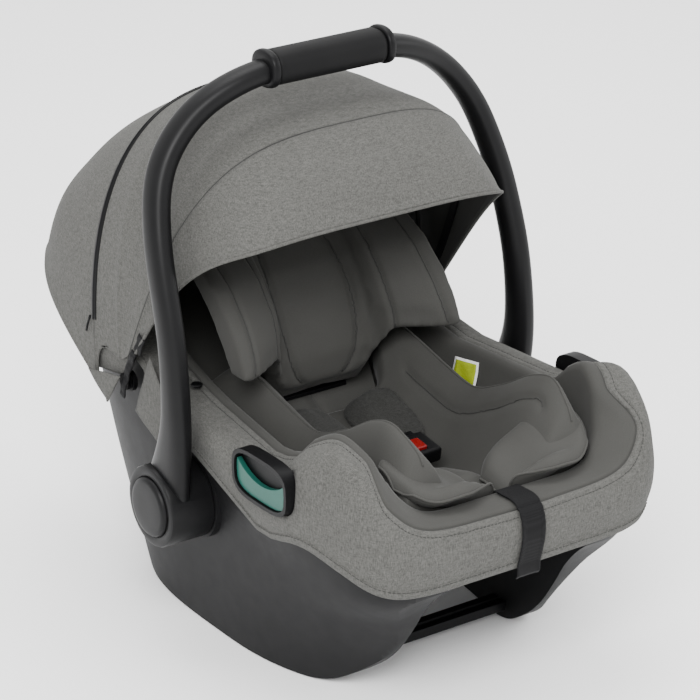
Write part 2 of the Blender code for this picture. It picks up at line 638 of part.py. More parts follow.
def make_belt_guides():
    """A dished guide for the lap belt in each flank, with a coloured insert in its lower half."""
    for side, word in ((-1, "left"), (1, "right")):
        face = (side * GUIDE_FACE_X, GUIDE_Y, GUIDE_Z)
        size = (2 * GUIDE_DEPTH + 0.001, GUIDE_LENGTH, GUIDE_HEIGHT)
        opening = rounded_plate(f"guide_opening_{word}", side, face, size, BLACK_PLASTIC, CUTTERS)
        for host in ("seat_cover", "shell", "foam_liner"):
            combine(bpy.data.objects[host], opening)
        middle = (side * (GUIDE_FACE_X - GUIDE_DEPTH / 2), GUIDE_Y, GUIDE_Z)
        size = (GUIDE_DEPTH, GUIDE_LENGTH - 0.001, GUIDE_HEIGHT - 0.001)
        guide = rounded_plate(f"belt_guide_{word}", side, middle, size, BLACK_PLASTIC)
        dished = (GUIDE_DEPTH + 0.002, GUIDE_LENGTH - 2 * GUIDE_LIP, GUIDE_HEIGHT - 2 * GUIDE_LIP)
        dish = rounded_plate(f"guide_dish_{word}", side, face, dished, BLACK_PLASTIC, CUTTERS)
        combine(guide, dish)
        sunk = (side * (GUIDE_FACE_X - INSERT_DEPTH), GUIDE_Y, GUIDE_Z)
        size = (INSERT_DEPTH, dished[1] - 0.001, dished[2] - 0.001)
        crescent = rounded_plate(f"belt_guide_insert_{word}", side, sunk, size, TEAL_PLASTIC)
        start = (side * 0.16, GUIDE_Y, GUIDE_Z + CRESCENT_RISE)
        end = (side * 0.22, GUIDE_Y, GUIDE_Z + CRESCENT_RISE)
        upper = cylinder(f"guide_upper_{word}", CRESCENT_RADIUS, start, end, TEAL_PLASTIC, CUTTERS, 48)
        combine(crescent, upper)


def rounded_plate(name, side, centre, size, look, into=None, steps=28, power=3.4):
    """A plate facing sideways whose outline is a rounded rectangle."""
    rings = []
    for x in (-size[0] / 2, size[0] / 2):
        ring = []
        for i in range(steps):
            turn = 2 * pi * i / steps
            y = signed_power(cos(turn), 2 / power) * size[1] / 2
            z = signed_power(sin(turn), 2 / power) * size[2] / 2
            ring.append((centre[0] + x, centre[1] + y, centre[2] + z))
        rings.append(ring)
    return loft(name, rings, look, into)


# ---------------------------------------------------------------- padding
def surface_over(*names):
    """A function of x and y: the height of the topmost of these bodies."""
    trees = [surface_tree(name) for name in names]

    def height(x, y):
        hits = [tree.ray_cast(Vector((x, y, 1.0)), Vector((0, 0, -1)))[0] for tree in trees]
        return max(hit.z for hit in hits if hit)

    return height


# Where settled() tests a four-cornered facet, as shares of its corners: mid edges, diagonals, and between.
FACET_SHARES = (
    (0.5, 0.5, 0, 0),
    (0, 0, 0.5, 0.5),
    (0.5, 0, 0.5, 0),
    (0, 0.5, 0, 0.5),
    (0.5, 0, 0, 0.5),
    (0, 0.5, 0.5, 0),
    (0.75, 0, 0, 0.25),
    (0.25, 0, 0, 0.75),
    (0, 0.75, 0.25, 0),
    (0, 0.25, 0.75, 0),
    (0.4, 0.2, 0.4, 0),
    (0, 0.4, 0.2, 0.4),
)


def settled(grid, base, lift):
    """The grid raised where a flat facet between its points would dip into the surface it lies on."""
    grid = [[Vector(p) for p in row] for row in grid]
    for _ in range(6):
        raised = [[0.0] * len(row) for row in grid]
        for r in range(len(grid) - 1):
            for c in range(len(grid[0]) - 1):
                corners = ((r, c), (r, c + 1), (r + 1, c), (r + 1, c + 1))
                for shares in FACET_SHARES:
                    point = Vector((0, 0, 0))
                    for (i, j), share in zip(corners, shares):
                        point += grid[i][j] * share
                    lack = base(point.x, point.y) + lift - point.z
                    for (i, j), share in zip(corners, shares):
                        if lack > 0 and share > 0:
                            raised[i][j] = max(raised[i][j], lack)
        for r, row in enumerate(grid):
            for c, point in enumerate(row):
                point.z += raised[r][c]
    return grid


def laid_on(name, plan, base, lift, rise, look):
    """A closed body lying on a surface: plan is a grid of (x, y), rise the thickness over each point."""
    under = settled([[(x, y, base(x, y) + lift) for x, y in row] for row in plan], base, lift)
    over = [[(p.x, p.y, p.z + rise(r, c, p)) for c, p in enumerate(row)] for r, row in enumerate(under)]
    return slab(name, over, under, look)


def make_insert():
    """Infant insert: one cushion with a soft floor and a standing bolster on each side."""
    base = surface_over("seat_cover")
    crest = curve_through(INSERT_STATIONS, INSERT_CRESTS)
    rows, columns = 17, 17
    plan = []
    for t in np.linspace(0, 1, rows):
        row = []
        for v in np.linspace(-1, 1, columns):
            x = v * INSERT_EDGE_X
            to_front, to_rear = smooth_step(abs(x), 0.034, 0.070), smooth_step(abs(x), 0.058, 0.090)
            front = INSERT_FRONT_Y + (INSERT_STATIONS[0] - INSERT_FRONT_Y) * to_front
            rear = INSERT_REAR_Y + (INSERT_STATIONS[-1] - INSERT_REAR_Y) * to_rear
            y = front + (rear - front) * t
            row.append((x * (1 - 0.12 * smooth_step(-y, 0.21, 0.265)), y))
        plan.append(row)

    def rise(r, c, p):
        x, y = p.x, p.y
        floor = base(0, y) + INSERT_FILL * (1 - smooth_step(y, -0.04, INSERT_REAR_Y) * 0.55)
        share = abs(x) / INSERT_CREST_X
        if share <= 1:
            high = floor + (crest(y) - floor) * smooth_step(share, 0.28, 1.05)
        else:
            slope = min((abs(x) - INSERT_CREST_X) / (INSERT_EDGE_X - INSERT_CREST_X), 1.0)
            high = crest(y) + (p.z + 0.004 - crest(y)) * slope ** 1.5
        return max(high - p.z, 0.003)

    laid_on("infant_insert", plan, base, PAD_LIFT, rise, KNIT)


def make_headrest():
    """Head support: a padded back with a recess for the head and two wings, on a plate that slides up."""
    columns = np.linspace(-WING_OUTER_X, WING_OUTER_X, 25)
    front, back = [], []
    for row in range(len(FACE_MIDDLE)):
        front.append([headrest_face(x, row) for x in columns])
        back.append([headrest_back(x, row) for x in columns])
    slab("headrest_pad", front, back, KNIT)
    base = surface_over("seat_cover")
    stations = np.linspace(0.040, 0.120, 7)
    top = [[(x, y, base(x, y) + 0.0046) for x in (-0.042, 0.0, 0.042)] for y in stations]
    bottom = [[(x, y, base(x, y) + PAD_LIFT) for x in (-0.042, 0.0, 0.042)] for y in stations]
    slab("headrest_plate", top, bottom, BLACK_PLASTIC)


def headrest_face(x, row):
    across = abs(x)
    into_wing = smooth_step(across, RECESS_HALF, WING_INNER_X)
    outwards = min(max((across - WING_INNER_X) / (WING_OUTER_X - WING_INNER_X), 0.0), 1.0)
    point = []
    for axis in (0, 1):
        inner = FACE_MIDDLE[row][axis] + (FACE_INNER[row][axis] - FACE_MIDDLE[row][axis]) * into_wing
        point.append(inner + (FACE_OUTER[row][axis] - FACE_INNER[row][axis]) * outwards)
    edge = smooth_step(across, WING_OUTER_X - 0.014, WING_OUTER_X)
    return (x, point[0] + 0.010 * edge, point[1])


def headrest_back(x, row):
    into_wing = smooth_step(abs(x), RECESS_HALF + 0.004, WING_INNER_X + 0.012)
    outwards = min(max((abs(x) - WING_INNER_X) / (WING_OUTER_X - WING_INNER_X), 0.0), 1.0)
    middle, wing = BACK_MIDDLE[row], BACK_WING[row]
    y = middle[0] + (wing[0] - 0.030 * outwards - middle[0]) * into_wing
    z = middle[1] + (wing[1] - middle[1]) * into_wing
    return (x, y, z)


def runner(name, path, width, base, fill, look, dome=2.0, columns=5, steps=3):
    """A strip laid along a plan path on a surface; fill is its thickness in the middle."""
    xs = curve_through(range(len(path)), [p[0] for p in path])
    ys = curve_through(range(len(path)), [p[1] for p in path])
    stations = np.linspace(0, len(path) - 1, steps * (len(path) - 1) + 1)
    sides = np.linspace(-1, 1, columns)
    plan = []
    for t in stations:
        ahead = Vector((xs(t + 0.1) - xs(t - 0.1), ys(t + 0.1) - ys(t - 0.1))).normalized()
        row = []
        for v in sides:
            a = v * (1 - 0.3 * (2 * t / stations[-1] - 1) ** 4) if dome else v
            row.append((xs(t) - ahead.y * a * width / 2, ys(t) + ahead.x * a * width / 2))
        plan.append(row)

    def rise(r, c, p):
        if not dome:
            return fill
        end = abs(2 * stations[r] / stations[-1] - 1)
        return fill * (1 - 0.75 * abs(sides[c]) ** dome) * (1 - 0.6 * end ** 6)

    return laid_on(name, plan, base, PAD_LIFT, rise, look)


def make_harness():
    """Shoulder straps over the insert, each under a padded sleeve, and the padded crotch strap."""
    base = surface_over("seat_cover", "infant_insert")
    for side, word in ((-1, "left"), (1, "right")):
        strap = [(side * x, y) for x, y in HARNESS_PATH]
        runner(f"harness_strap_{word}", strap, HARNESS_WIDTH, base, WEBBING, WEBBING_BLACK, dome=0, columns=3)
    base = surface_over("seat_cover", "infant_insert", "harness_strap_left", "harness_strap_right")
    for side, word in ((-1, "left"), (1, "right")):
        pad = [(side * x, y) for x, y in SHOULDER_PAD_PATH]
        runner(f"shoulder_pad_{word}", pad, SHOULDER_PAD_WIDTH, base, SHOULDER_PAD_FILL, MELANGE, columns=7)
    runner("crotch_pad", CROTCH_PAD_PATH, CROTCH_PAD_WIDTH, base, CROTCH_PAD_FILL, KNIT, columns=7)


def make_buckle():
    """Harness buckle with its sprung release button and the two tongues."""
    turn = Matrix.Rotation(BUCKLE_TILT, 3, "X")
    centre = Vector(BUCKLE_CENTRE)
    body = block("harness_buckle", BUCKLE_SIZE, centre, BLACK_PLASTIC, turn=turn, bevel=0.004, segments=3)
    well_centre = centre + turn @ Vector((0, BUTTON_Y, BUTTON_Z + 0.0012))
    pocket = block("button_well", (0.022, 0.018, 0.014), well_centre, BLACK_PLASTIC, CUTTERS, turn)
    combine(body, pocket)
    button_middle = centre + turn @ Vector((0, BUTTON_Y, BUTTON_Z))
    block("buckle_button", (0.021, 0.017, 0.0065), button_middle, RED_PLASTIC, turn=turn, bevel=0.0012)
    for side, word in ((-1, "left"), (1, "right")):
        slot_centre = centre + turn @ Vector((side * TONGUE_X, 0.016, 0.0))
        slot = block(f"tongue_slot_{word}", (0.019, 0.016, 0.0048), slot_centre, BLACK_PLASTIC, CUTTERS, turn)
        combine(body, slot)
        tongue = centre + turn @ Vector((side * TONGUE_X, 0.0192, 0.0))
        block(f"buckle_tongue_{word}", (0.018, 0.021, 0.0036), tongue, BLACK_PLASTIC, turn=turn, bevel=0.001)


def make_adjuster():
    """Harness adjuster at the foot of the seat: housing, sprung button and the strap over the lip."""
    base = surface_over("seat_cover")
    rise = (base(0, ADJUSTER_Y - 0.012) - base(0, ADJUSTER_Y + 0.012)) / 0.024
    turn = Matrix.Rotation(-atan(rise), 3, "X")
    normal = turn @ Vector((0, 0, 1))
    seat = Vector((0, ADJUSTER_Y, base(0, ADJUSTER_Y)))
    middle, well_middle, button_middle = (seat + normal * rise_by for rise_by in (0.0062, 0.0095, 0.0091))
    housing = block("adjuster_housing", (0.040, 0.026, 0.008), middle, BLACK_PLASTIC, turn=turn, bevel=0.002)
    well = block("adjuster_well", (0.0205, 0.0155, 0.009), well_middle, BLACK_PLASTIC, CUTTERS, turn)
    combine(housing, well)
    size = (0.0195, 0.0145, 0.0045)
    block("adjuster_button", size, button_middle, BLACK_PLASTIC, turn=turn, bevel=0.001)
    path = lip_path()
    rings = []
    for (y, z), (ny, nz) in path:
        ring = []
        for x, lift in ((-1, 0.0), (1, 0.0), (1, WEBBING), (-1, WEBBING)):
            ring.append((x * LIP_STRAP_WIDTH / 2, y + ny * lift, z + nz * lift))
        rings.append(ring)
    loft("adjuster_strap", rings, WEBBING_BLACK)


def lip_path():
    """Side view of the strap's way from the adjuster over the lip and behind the hem: points and normals."""
    tree = surface_tree("seat_cover")
    middle = Vector((0, LIP_CENTRE[0], LIP_CENTRE[1]))
    found = []
    for turn in np.linspace(radians(70), radians(-24), 14):
        ray = Vector((0, -cos(turn), sin(turn)))
        hit = tree.ray_cast(middle + ray * 0.2, -ray)[0]
        spot = hit + ray * LIP_STRAP_LIFT
        found.append(((spot.y, spot.z), (ray.y, ray.z)))
    hem_y = front_at(HEM_HEIGHTS[0]) - COVER_STANDOFF
    low = HEM_HEIGHTS[0] - 0.0030
    found.append(((hem_y - 0.0015, low), (-0.7, -0.7)))
    found.append(((hem_y + 0.0015, low + 0.0005), (0.7, -0.7)))
    found.append(((hem_y + 0.0012, low + 0.0120), (1.0, 0.1)))
    return found


def surface_tree(name):
    mesh = bpy.data.objects[name].data
    mesh.calc_loop_triangles()
    triangles = [tuple(t.vertices) for t in mesh.loop_triangles]
    return BVHTree.FromPolygons([v.co.copy() for v in mesh.vertices], triangles)


def make_trim():
    """Snap discs on the rim."""
    base = surface_over("seat_cover")
    for side, word in ((-1, "left"), (1, "right")):
        x, y = side * 0.148, 0.012
        z = base(x, y) + 0.0026
        snap = cylinder(f"rim_snap_{word}", 0.0058, (x, y, z), (x, y, z + 0.0030), BLACK_PLASTIC, steps=20)
        add_bevel(snap, 0.001, 2)


# ---------------------------------------------------------------- handle
def handle_stations():
    """Points along one arm from hub to grip: height above the hub, half span, bow, depth."""
    span = curve_through(HANDLE_STATIONS, HANDLE_HALF_SPANS)
    bow = curve_through(HANDLE_STATIONS, HANDLE_BOWS)
    depth = curve_through(HANDLE_STATIONS, ARM_DEPTHS)
    return [(span(t), bow(t) + HUB_Y, HUB_Z + t * HANDLE_REACH, depth(t)) for t in ARM_SHARES]


def handle_path():
    """The handle's centre line from the left hub over the grip to the right hub, with its half depth."""
    arm = handle_stations()
    left = [(-x, y, z, d) for x, y, z, d in arm]
    middle = [(x, arm[-1][1], arm[-1][2] + 0.0012, arm[-1][3]) for x in (-0.03, 0.0, 0.03)]
    return left + middle + arm[::-1]


def oval_ring(centre, along, depth, thickness, steps=14, power=2.4):
    """A section across `along`: depth runs fore and aft, thickness across the arm."""
    fore = Vector((0, 1, 0))
    along = along.normalized()
    fore = (fore - along * fore.dot(along)).normalized()
    out = along.cross(fore)
    ring = []
    for i in range(steps):
        turn = 2 * pi * i / steps
        a = signed_power(cos(turn), 2 / power) * depth
        b = signed_power(sin(turn), 2 / power) * thickness
        ring.append(Vector(centre) + fore * a + out * b)
    return ring


def sweep(name, path, look, into=None, grow=0.0, steps=14):
    """An oval bar through points with their half depth; grow widens it all round."""
    rings = []
    for i, (x, y, z, depth) in enumerate(path):
        before, after = path[max(i - 1, 0)], path[min(i + 1, len(path) - 1)]
        along = Vector(after[:3]) - Vector(before[:3])
        rings.append(oval_ring((x, y, z), along, depth + grow, ARM_HALF_THICKNESS + grow, steps))
    return loft(name, rings, look, into)


def make_handle():
    """Carry handle: one moulding with both arms, their hub drums and the bar under the grip."""
    handle = sweep("handle", handle_path(), HANDLE_PLASTIC)
    for side, word in ((-1, "left"), (1, "right")):
        inner, outer = side * HUB_INNER_X, side * HUB_OUTER_X
        drum = cylinder(f"hub_drum_{word}", HUB_RADIUS, (inner, HUB_Y, HUB_Z), (outer, HUB_Y, HUB_Z),
                        HANDLE_PLASTIC, CUTTERS, steps=40)
        combine(handle, drum, "UNION")
        start = (side * (HUB_INNER_X - 0.01), HUB_Y, HUB_Z)
        end = (side * (HUB_OUTER_X + 0.01), HUB_Y, HUB_Z)
        bore = cylinder(f"hub_bore_{word}", HUB_BORE, start, end, HANDLE_PLASTIC, CUTTERS, steps=36)
        combine(handle, bore)
        start = (side * (HUB_OUTER_X - CAP_SINK), HUB_Y, HUB_Z)
        end = (side * (HUB_OUTER_X + 0.01), HUB_Y, HUB_Z)
        radius = CAP_RADIUS + GAP
        recess = cylinder(f"cap_recess_{word}", radius, start, end, HANDLE_PLASTIC, CUTTERS, steps=36)
        combine(handle, recess)
        pocket = block(f"button_pocket_{word}", (BUTTON_WIDTH + 0.0012, 0.03, BUTTON_HEIGHT + 0.0012),
                       button_centre(side, 0.036), HANDLE_PLASTIC, CUTTERS, button_turn())
        combine(handle, pocket)
    return handle


def button_turn():
    return Matrix.Rotation(BUTTON_TILT, 3, "X")


def button_centre(side, reach):
    """A point on the release button's line, this far from the hub's axis."""
    return (side * BUTTON_X, HUB_Y + reach * cos(BUTTON_TILT), HUB_Z + reach * sin(BUTTON_TILT))


def make_hubs():
    """What each hub holds: a pivot pin on the shell, a lock gear, a spring's envelope, a button, a cap."""
    for side, word in ((-1, "left"), (1, "right")):
        def bar(name, radius, start, end, look, steps=32):
            ends = [(side * x, HUB_Y, HUB_Z) for x in (start, end)]
            return cylinder(name, radius, *ends, look, steps=steps)

        bar(f"handle_pivot_{word}", 0.009, HUB_INNER_X, 0.2040, STEEL, 24)
        gear = toothed_ring(f"lock_gear_{word}", side * 0.1720, side * 0.1820, 0.0232, 0.0255, 8)
        hole = bar(f"gear_hole_{word}", 0.0096, 0.165, 0.190, STEEL, 24)
        combine(gear, hole)
        spring = bar(f"lock_spring_{word}", 0.0165, 0.1835, 0.2020, STEEL, 24)
        core = bar(f"spring_core_{word}", 0.0125, 0.180, 0.206, STEEL, 24)
        combine(spring, core)
        sunk = HUB_OUTER_X - CAP_SINK + GAP
        cap = bar(f"hub_cap_{word}", CAP_RADIUS, sunk, HUB_OUTER_X + 0.0045, HANDLE_PLASTIC, 36)
        add_bevel(cap, 0.0022, 1)
        block(f"handle_button_{word}", (BUTTON_WIDTH, 0.0150, BUTTON_HEIGHT), button_centre(side, 0.0385),
              BLACK_PLASTIC, turn=button_turn(), bevel=0.0035, segments=3)


def toothed_ring(name, start, end, root, tip, teeth):
    """A short gear about the hub's axis."""
    rings = []
    for x in (start, end):
        ring = []
        for i in range(teeth * 4):
            reach = tip if i % 4 in (1, 2) else root
            turn = 2 * pi * i / (teeth * 4)
            ring.append((x, HUB_Y + reach * cos(turn), HUB_Z + reach * sin(turn)))
        rings.append(ring)
    return loft(name, rings, STEEL)


def grip_path(half_length, steps=7):
    bow, top, depth = handle_stations()[-1][1:]
    xs = np.linspace(-half_length, half_length, steps)
    return [(x, bow, top + 0.0012, depth) for x in xs]


def make_grip():
    """Soft sleeve round the bar, with a raised collar at each end."""
    clearance = 0.0022
    path = grip_path(GRIP_HALF_LENGTH)
    sleeve = sweep("grip_sleeve", path, SOFT_GRIP, grow=clearance + GRIP_WALL, steps=20)
    path = grip_path(GRIP_HALF_LENGTH + 0.01)
    core = sweep("grip_core", path, SOFT_GRIP, CUTTERS, grow=clearance, steps=20)
    combine(sleeve, core)
    bow, top, depth = handle_stations()[-1][1:]
    for side, word in ((-1, "left"), (1, "right")):
        start = side * (GRIP_HALF_LENGTH + GAP)
        end = side * (GRIP_HALF_LENGTH + COLLAR_LENGTH)
        path = [(x, bow, top + 0.0012, depth) for x in (start, end)]
        collar = sweep(f"grip_collar_{word}", path, BLACK_PLASTIC, grow=0.0066, steps=20)
        reach = [(x, bow, top + 0.0012, depth) for x in (start - side * 0.01, end + side * 0.01)]
        combine(collar, sweep(f"collar_core_{word}", reach, BLACK_PLASTIC, CUTTERS, grow=0.0028, steps=20))


# ---------------------------------------------------------------- canopy
canopy_radius_at = curve_through(CANOPY_ANGLES, CANOPY_RADII)
canopy_power_at = curve_through(CANOPY_ANGLES, CANOPY_POWERS)


def canopy_point(angle, turn, inset=0.0, half_width=CANOPY_HALF_WIDTH):
    """On the canopy: angle is degrees forward of upright, turn runs across it from -pi/2 to pi/2."""
    radius = canopy_radius_at(angle) - inset
    power = canopy_power_at(angle)
    x = (half_width - inset) * signed_power(sin(turn), 2 / power)
    reach = radius * abs(cos(turn)) ** (2 / power)
    return (x, PIVOT_Y - reach * sin(radians(angle)), PIVOT_Z + reach * cos(radians(angle)))


def skirt_angle(turn):
    """Where the canopy's lower rear hem crosses this turn."""
    low, high = -118.0, -60.0
    for _ in range(30):
        angle = (low + high) / 2
        _, y, z = canopy_point(angle, turn)
        line = min(SKIRT_START[1] + SKIRT_SLOPE * (y - SKIRT_START[0]), SKIRT_TOP)
        if z < line:
            low = angle
        else:
            high = angle
    return angle


def zip_angle(turn, y=ZIP_Y, inset=0.0):
    """Where the upright plane of the zip crosses this turn."""
    low, high = -110.0, -4.0
    for _ in range(30):
        angle = (low + high) / 2
        if canopy_point(angle, turn, inset)[1] > y:
            low = angle
        else:
            high = angle
    return angle


def hem_angle(turn):
    return HEM_ANGLE - HEM_SWEEP * sin(turn) ** 4


def canopy_panel(name, start, end, columns, look, lowest=PANEL_END, rows=23):
    """A curved sheet between two edges, each an angle for every turn; it tapers towards the pivots."""
    limit = pi / 2 - lowest
    turns = np.concatenate([[-limit], np.linspace(-limit + 0.05, limit - 0.05, rows), [limit]])
    tops, bottoms = [], []
    for share in np.linspace(0, 1, columns):
        angles = [start(turn) + (end(turn) - start(turn)) * share for turn in turns]
        tops.append([canopy_point(angle, turn) for angle, turn in zip(angles, turns)])
        bottoms.append([canopy_point(angle, turn, CANOPY_SKIN) for angle, turn in zip(angles, turns)])
    return slab(name, tops, bottoms, look)


def make_bow(name, angle, half_width, inset):
    """A flat springy hoop over the seat, ending in an eye at each pivot."""
    rings = []
    turns = np.linspace(-pi / 2, pi / 2, 25)
    forward = Vector((0, -sin(radians(angle)), cos(radians(angle))))
    across = Vector((0, cos(radians(angle)), sin(radians(angle)))) * BOW_WIDTH / 2
    radius = canopy_radius_at(angle) - inset
    power = canopy_power_at(angle)
    pivot = Vector((0, PIVOT_Y, PIVOT_Z))

    def on_hoop(turn, shrink):
        reach = (radius - shrink) * abs(cos(turn)) ** (2 / power)
        x = (half_width - shrink) * signed_power(sin(turn), 2 / power)
        return pivot + forward * reach + Vector((x, 0, 0))

    for turn in turns:
        outer, inner = on_hoop(turn, -BOW_THICKNESS / 2), on_hoop(turn, BOW_THICKNESS / 2)
        rings.append([outer - across, outer + across, inner + across, inner - across])
    bow = loft(name, rings, BLACK_PLASTIC)
    for side in (-1, 1):
        x = half_width * side
        half = BOW_THICKNESS / 2 * side
        eye = cylinder(f"{name}_eye", 0.0085, (x - half, PIVOT_Y, PIVOT_Z), (x + half, PIVOT_Y, PIVOT_Z),
                       BLACK_PLASTIC, CUTTERS, 24)
        combine(bow, eye, "UNION")
        hole = cylinder(f"{name}_hole", 0.0036, (x - 0.01 * side, PIVOT_Y, PIVOT_Z),
                        (x + 0.01 * side, PIVOT_Y, PIVOT_Z), BLACK_PLASTIC, CUTTERS, 24)
        combine(bow, hole)
    return bow


def make_canopy():
    """Pivot studs, two hoops, and the fabric in three panels: rear dome, middle and front visor."""
    for side, word in ((-1, "left"), (1, "right")):
        stud = cylinder(f"canopy_pivot_{word}", 0.0105, (side * STUD_FOOT_X, PIVOT_Y, PIVOT_Z),
                        (side * CANOPY_STUD_X, PIVOT_Y, PIVOT_Z), BLACK_PLASTIC, steps=24)
        axle = cylinder(f"canopy_axle_{word}", 0.0033, (side * (STUD_FOOT_X + 0.002), PIVOT_Y, PIVOT_Z),
                        (side * CANOPY_AXLE_X, PIVOT_Y, PIVOT_Z), BLACK_PLASTIC, CUTTERS, 24)
        combine(stud, axle, "UNION")
    make_bow("canopy_mid_bow", MID_BOW_ANGLE, MID_BOW_X, 0.0045)
    make_bow("canopy_front_bow", FRONT_BOW_ANGLE, FRONT_BOW_X, 0.0045)
    canopy_panel("canopy_rear_panel", skirt_angle, rear_panel_edge, 8, MELANGE, REAR_PANEL_END)
    canopy_panel("canopy_mid_panel", mid_panel_edge, lambda turn: FRONT_BOW_ANGLE - 0.1, 8, MELANGE)
    canopy_panel("canopy_visor", lambda turn: FRONT_BOW_ANGLE + 0.1, hem_angle, 5, MELANGE)
    make_zip()


def rear_panel_edge(turn):
    return zip_angle(turn, ZIP_Y + SEAM_GAP)


def mid_panel_edge(turn):
    return max(zip_angle(turn, ZIP_Y - SEAM_GAP), skirt_angle(turn))


def make_zip():
    """The zip that runs over the dome in an upright plane; it lies on the seam between two panels."""
    turns = np.linspace(-ZIP_TURN, ZIP_TURN, 23)
    edges = (ZIP_Y - ZIP_WIDTH / 2, ZIP_Y + ZIP_WIDTH / 2)
    grids = []
    for inset in (-ZIP_LIFT - ZIP_THICKNESS, -ZIP_LIFT):
        rows = [[canopy_point(zip_angle(turn, y, inset), turn, inset) for turn in turns] for y in edges]
        grids.append(rows)
    slab("canopy_zip", grids[0], grids[1], BLACK_PLASTIC)


make_shell()
make_foam_liner()
make_seat_cover()
make_crossbar()
make_foot_pads()
make_adapter_sockets()
make_release_lever()
make_belt_guides()
make_handle()
make_hubs()
make_grip()
make_canopy()
make_insert()
make_headrest()
make_harness()
make_buckle()
make_adjuster()
make_trim()
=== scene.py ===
import json
from math import cos, exp, pi, radians, sin, tau

import bmesh
import bpy
import numpy as np
from mathutils import Matrix, Vector, noise
from mathutils.bvhtree import BVHTree

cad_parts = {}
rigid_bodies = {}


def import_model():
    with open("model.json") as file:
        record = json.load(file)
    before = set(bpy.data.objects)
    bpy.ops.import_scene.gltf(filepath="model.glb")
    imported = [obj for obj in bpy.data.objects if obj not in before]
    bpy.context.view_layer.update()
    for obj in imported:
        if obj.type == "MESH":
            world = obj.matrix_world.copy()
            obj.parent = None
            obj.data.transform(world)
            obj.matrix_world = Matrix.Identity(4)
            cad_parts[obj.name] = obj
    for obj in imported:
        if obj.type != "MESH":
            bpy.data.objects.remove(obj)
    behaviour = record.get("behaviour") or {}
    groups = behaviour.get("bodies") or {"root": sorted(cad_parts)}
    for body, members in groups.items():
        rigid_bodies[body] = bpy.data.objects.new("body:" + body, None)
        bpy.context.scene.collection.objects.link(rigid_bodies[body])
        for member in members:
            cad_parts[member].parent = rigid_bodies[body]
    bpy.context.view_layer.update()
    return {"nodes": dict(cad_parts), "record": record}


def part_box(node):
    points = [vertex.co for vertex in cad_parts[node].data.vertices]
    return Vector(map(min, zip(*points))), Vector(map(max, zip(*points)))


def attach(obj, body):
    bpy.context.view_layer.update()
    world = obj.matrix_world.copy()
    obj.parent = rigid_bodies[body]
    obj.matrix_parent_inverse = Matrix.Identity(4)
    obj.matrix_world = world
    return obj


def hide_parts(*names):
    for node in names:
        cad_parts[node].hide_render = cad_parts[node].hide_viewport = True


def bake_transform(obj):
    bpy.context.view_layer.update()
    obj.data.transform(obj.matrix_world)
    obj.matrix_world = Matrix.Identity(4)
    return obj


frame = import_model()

NODES = frame["nodes"]
SIDES = ((-1, "left"), (1, "right"))

# ---------------------------------------------------------------- dimensions
# Seat and shell, the same curves as the solids they dress
SHELL_HEIGHTS = (0.0, 0.05, 0.10, 0.145, 0.20, 0.30, 0.36)
SHELL_HALF_WIDTHS = (0.146, 0.151, 0.156, 0.161, 0.165, 0.166, 0.166)
SHELL_FRONTS = (-0.215, -0.240, -0.268, -0.296, -0.309, -0.312, -0.312)
SHELL_REARS = (0.196, 0.216, 0.236, 0.250, 0.268, 0.300, 0.312)
FRONT_POWERS = (2.5, 3.0, 4.2, 7.0, 8.0, 8.0, 8.0)
REAR_POWER = 3.4
GUIDE_BULGE, GUIDE_Y, GUIDE_Z, BULGE_SPREAD = 0.016, -0.162, 0.228, 0.085
OUTLINE_CENTRE_Y = -0.02
FRONT_TO_REAR = (-0.05, 0.05)  # where the flanks change over from their front to their rear values
RIM_STATIONS = (-0.320, -0.300, -0.272, -0.242, -0.210, -0.175, -0.110, -0.050, 0.0, 0.06, 0.12, 0.20, 0.30)
RIM_TOPS = (0.186, 0.231, 0.268, 0.280, 0.268, 0.243, 0.236, 0.238, 0.243, 0.258, 0.276, 0.300, 0.318)
HEM_STATIONS = (-0.320, -0.290, -0.250, -0.205, -0.145, -0.120, -0.080, -0.030, 0.010, 0.045, 0.062, 0.075,
                0.32)
HEM_HEIGHTS = (0.143, 0.150, 0.168, 0.180, 0.167, 0.169, 0.181, 0.196, 0.205, 0.214, 0.236, 0.252, 0.300)
ROOF_STATIONS = (-0.40, -0.27, -0.20, -0.12, -0.03, 0.06, 0.13, 0.20, 0.30, 0.40)
ROOF_HEIGHTS = (0.158, 0.150, 0.118, 0.096, 0.088, 0.098, 0.128, 0.170, 0.232, 0.300)
SKID_STATIONS = (-0.340, -0.285, -0.262, -0.246, -0.223, -0.200, -0.161, -0.140, 0.020, 0.110, 0.160, 0.200,
                 0.300)
SKID_BOTTOMS = (0.170, 0.133, 0.108, 0.083, 0.051, 0.029, 0.005, 0.001, 0.001, 0.002, 0.012, 0.060, 0.200)
TUNNEL_FRONT_HALF, TUNNEL_REAR_HALF = 0.080, 0.112
SHELL_WALL, SHELL_START_Z = 0.004, -0.012
SHELL_DROP_FRONT, SHELL_DROP_REAR = 0.028, 0.016
SEAT_STATIONS = (-0.27, -0.20, -0.12, -0.06, 0.00, 0.05, 0.10, 0.16, 0.22, 0.28)
SEAT_HEIGHTS = (0.182, 0.152, 0.136, 0.142, 0.168, 0.198, 0.232, 0.268, 0.296, 0.314)
RIM_WIDTH = 0.040
FLOOR_HALF_WIDTH, FLOOR_FRONT, FLOOR_REAR = 0.060, -0.215, 0.235
COVER_THICKNESS, COVER_STANDOFF, REAR_STANDOFF = 0.0035, 0.0045, 0.0008
COVER_CLOTH, CANOPY_CLOTH, TRIM_CLOTH = 0.0026, 0.0014, 0.0016
ELASTIC_THICKNESS, STRAP_THICKNESS = 0.0012, 0.0015
GUIDE_FACE_X, GUIDE_LENGTH, GUIDE_HEIGHT, GUIDE_GAP = 0.1925, 0.090, 0.050, 0.0005

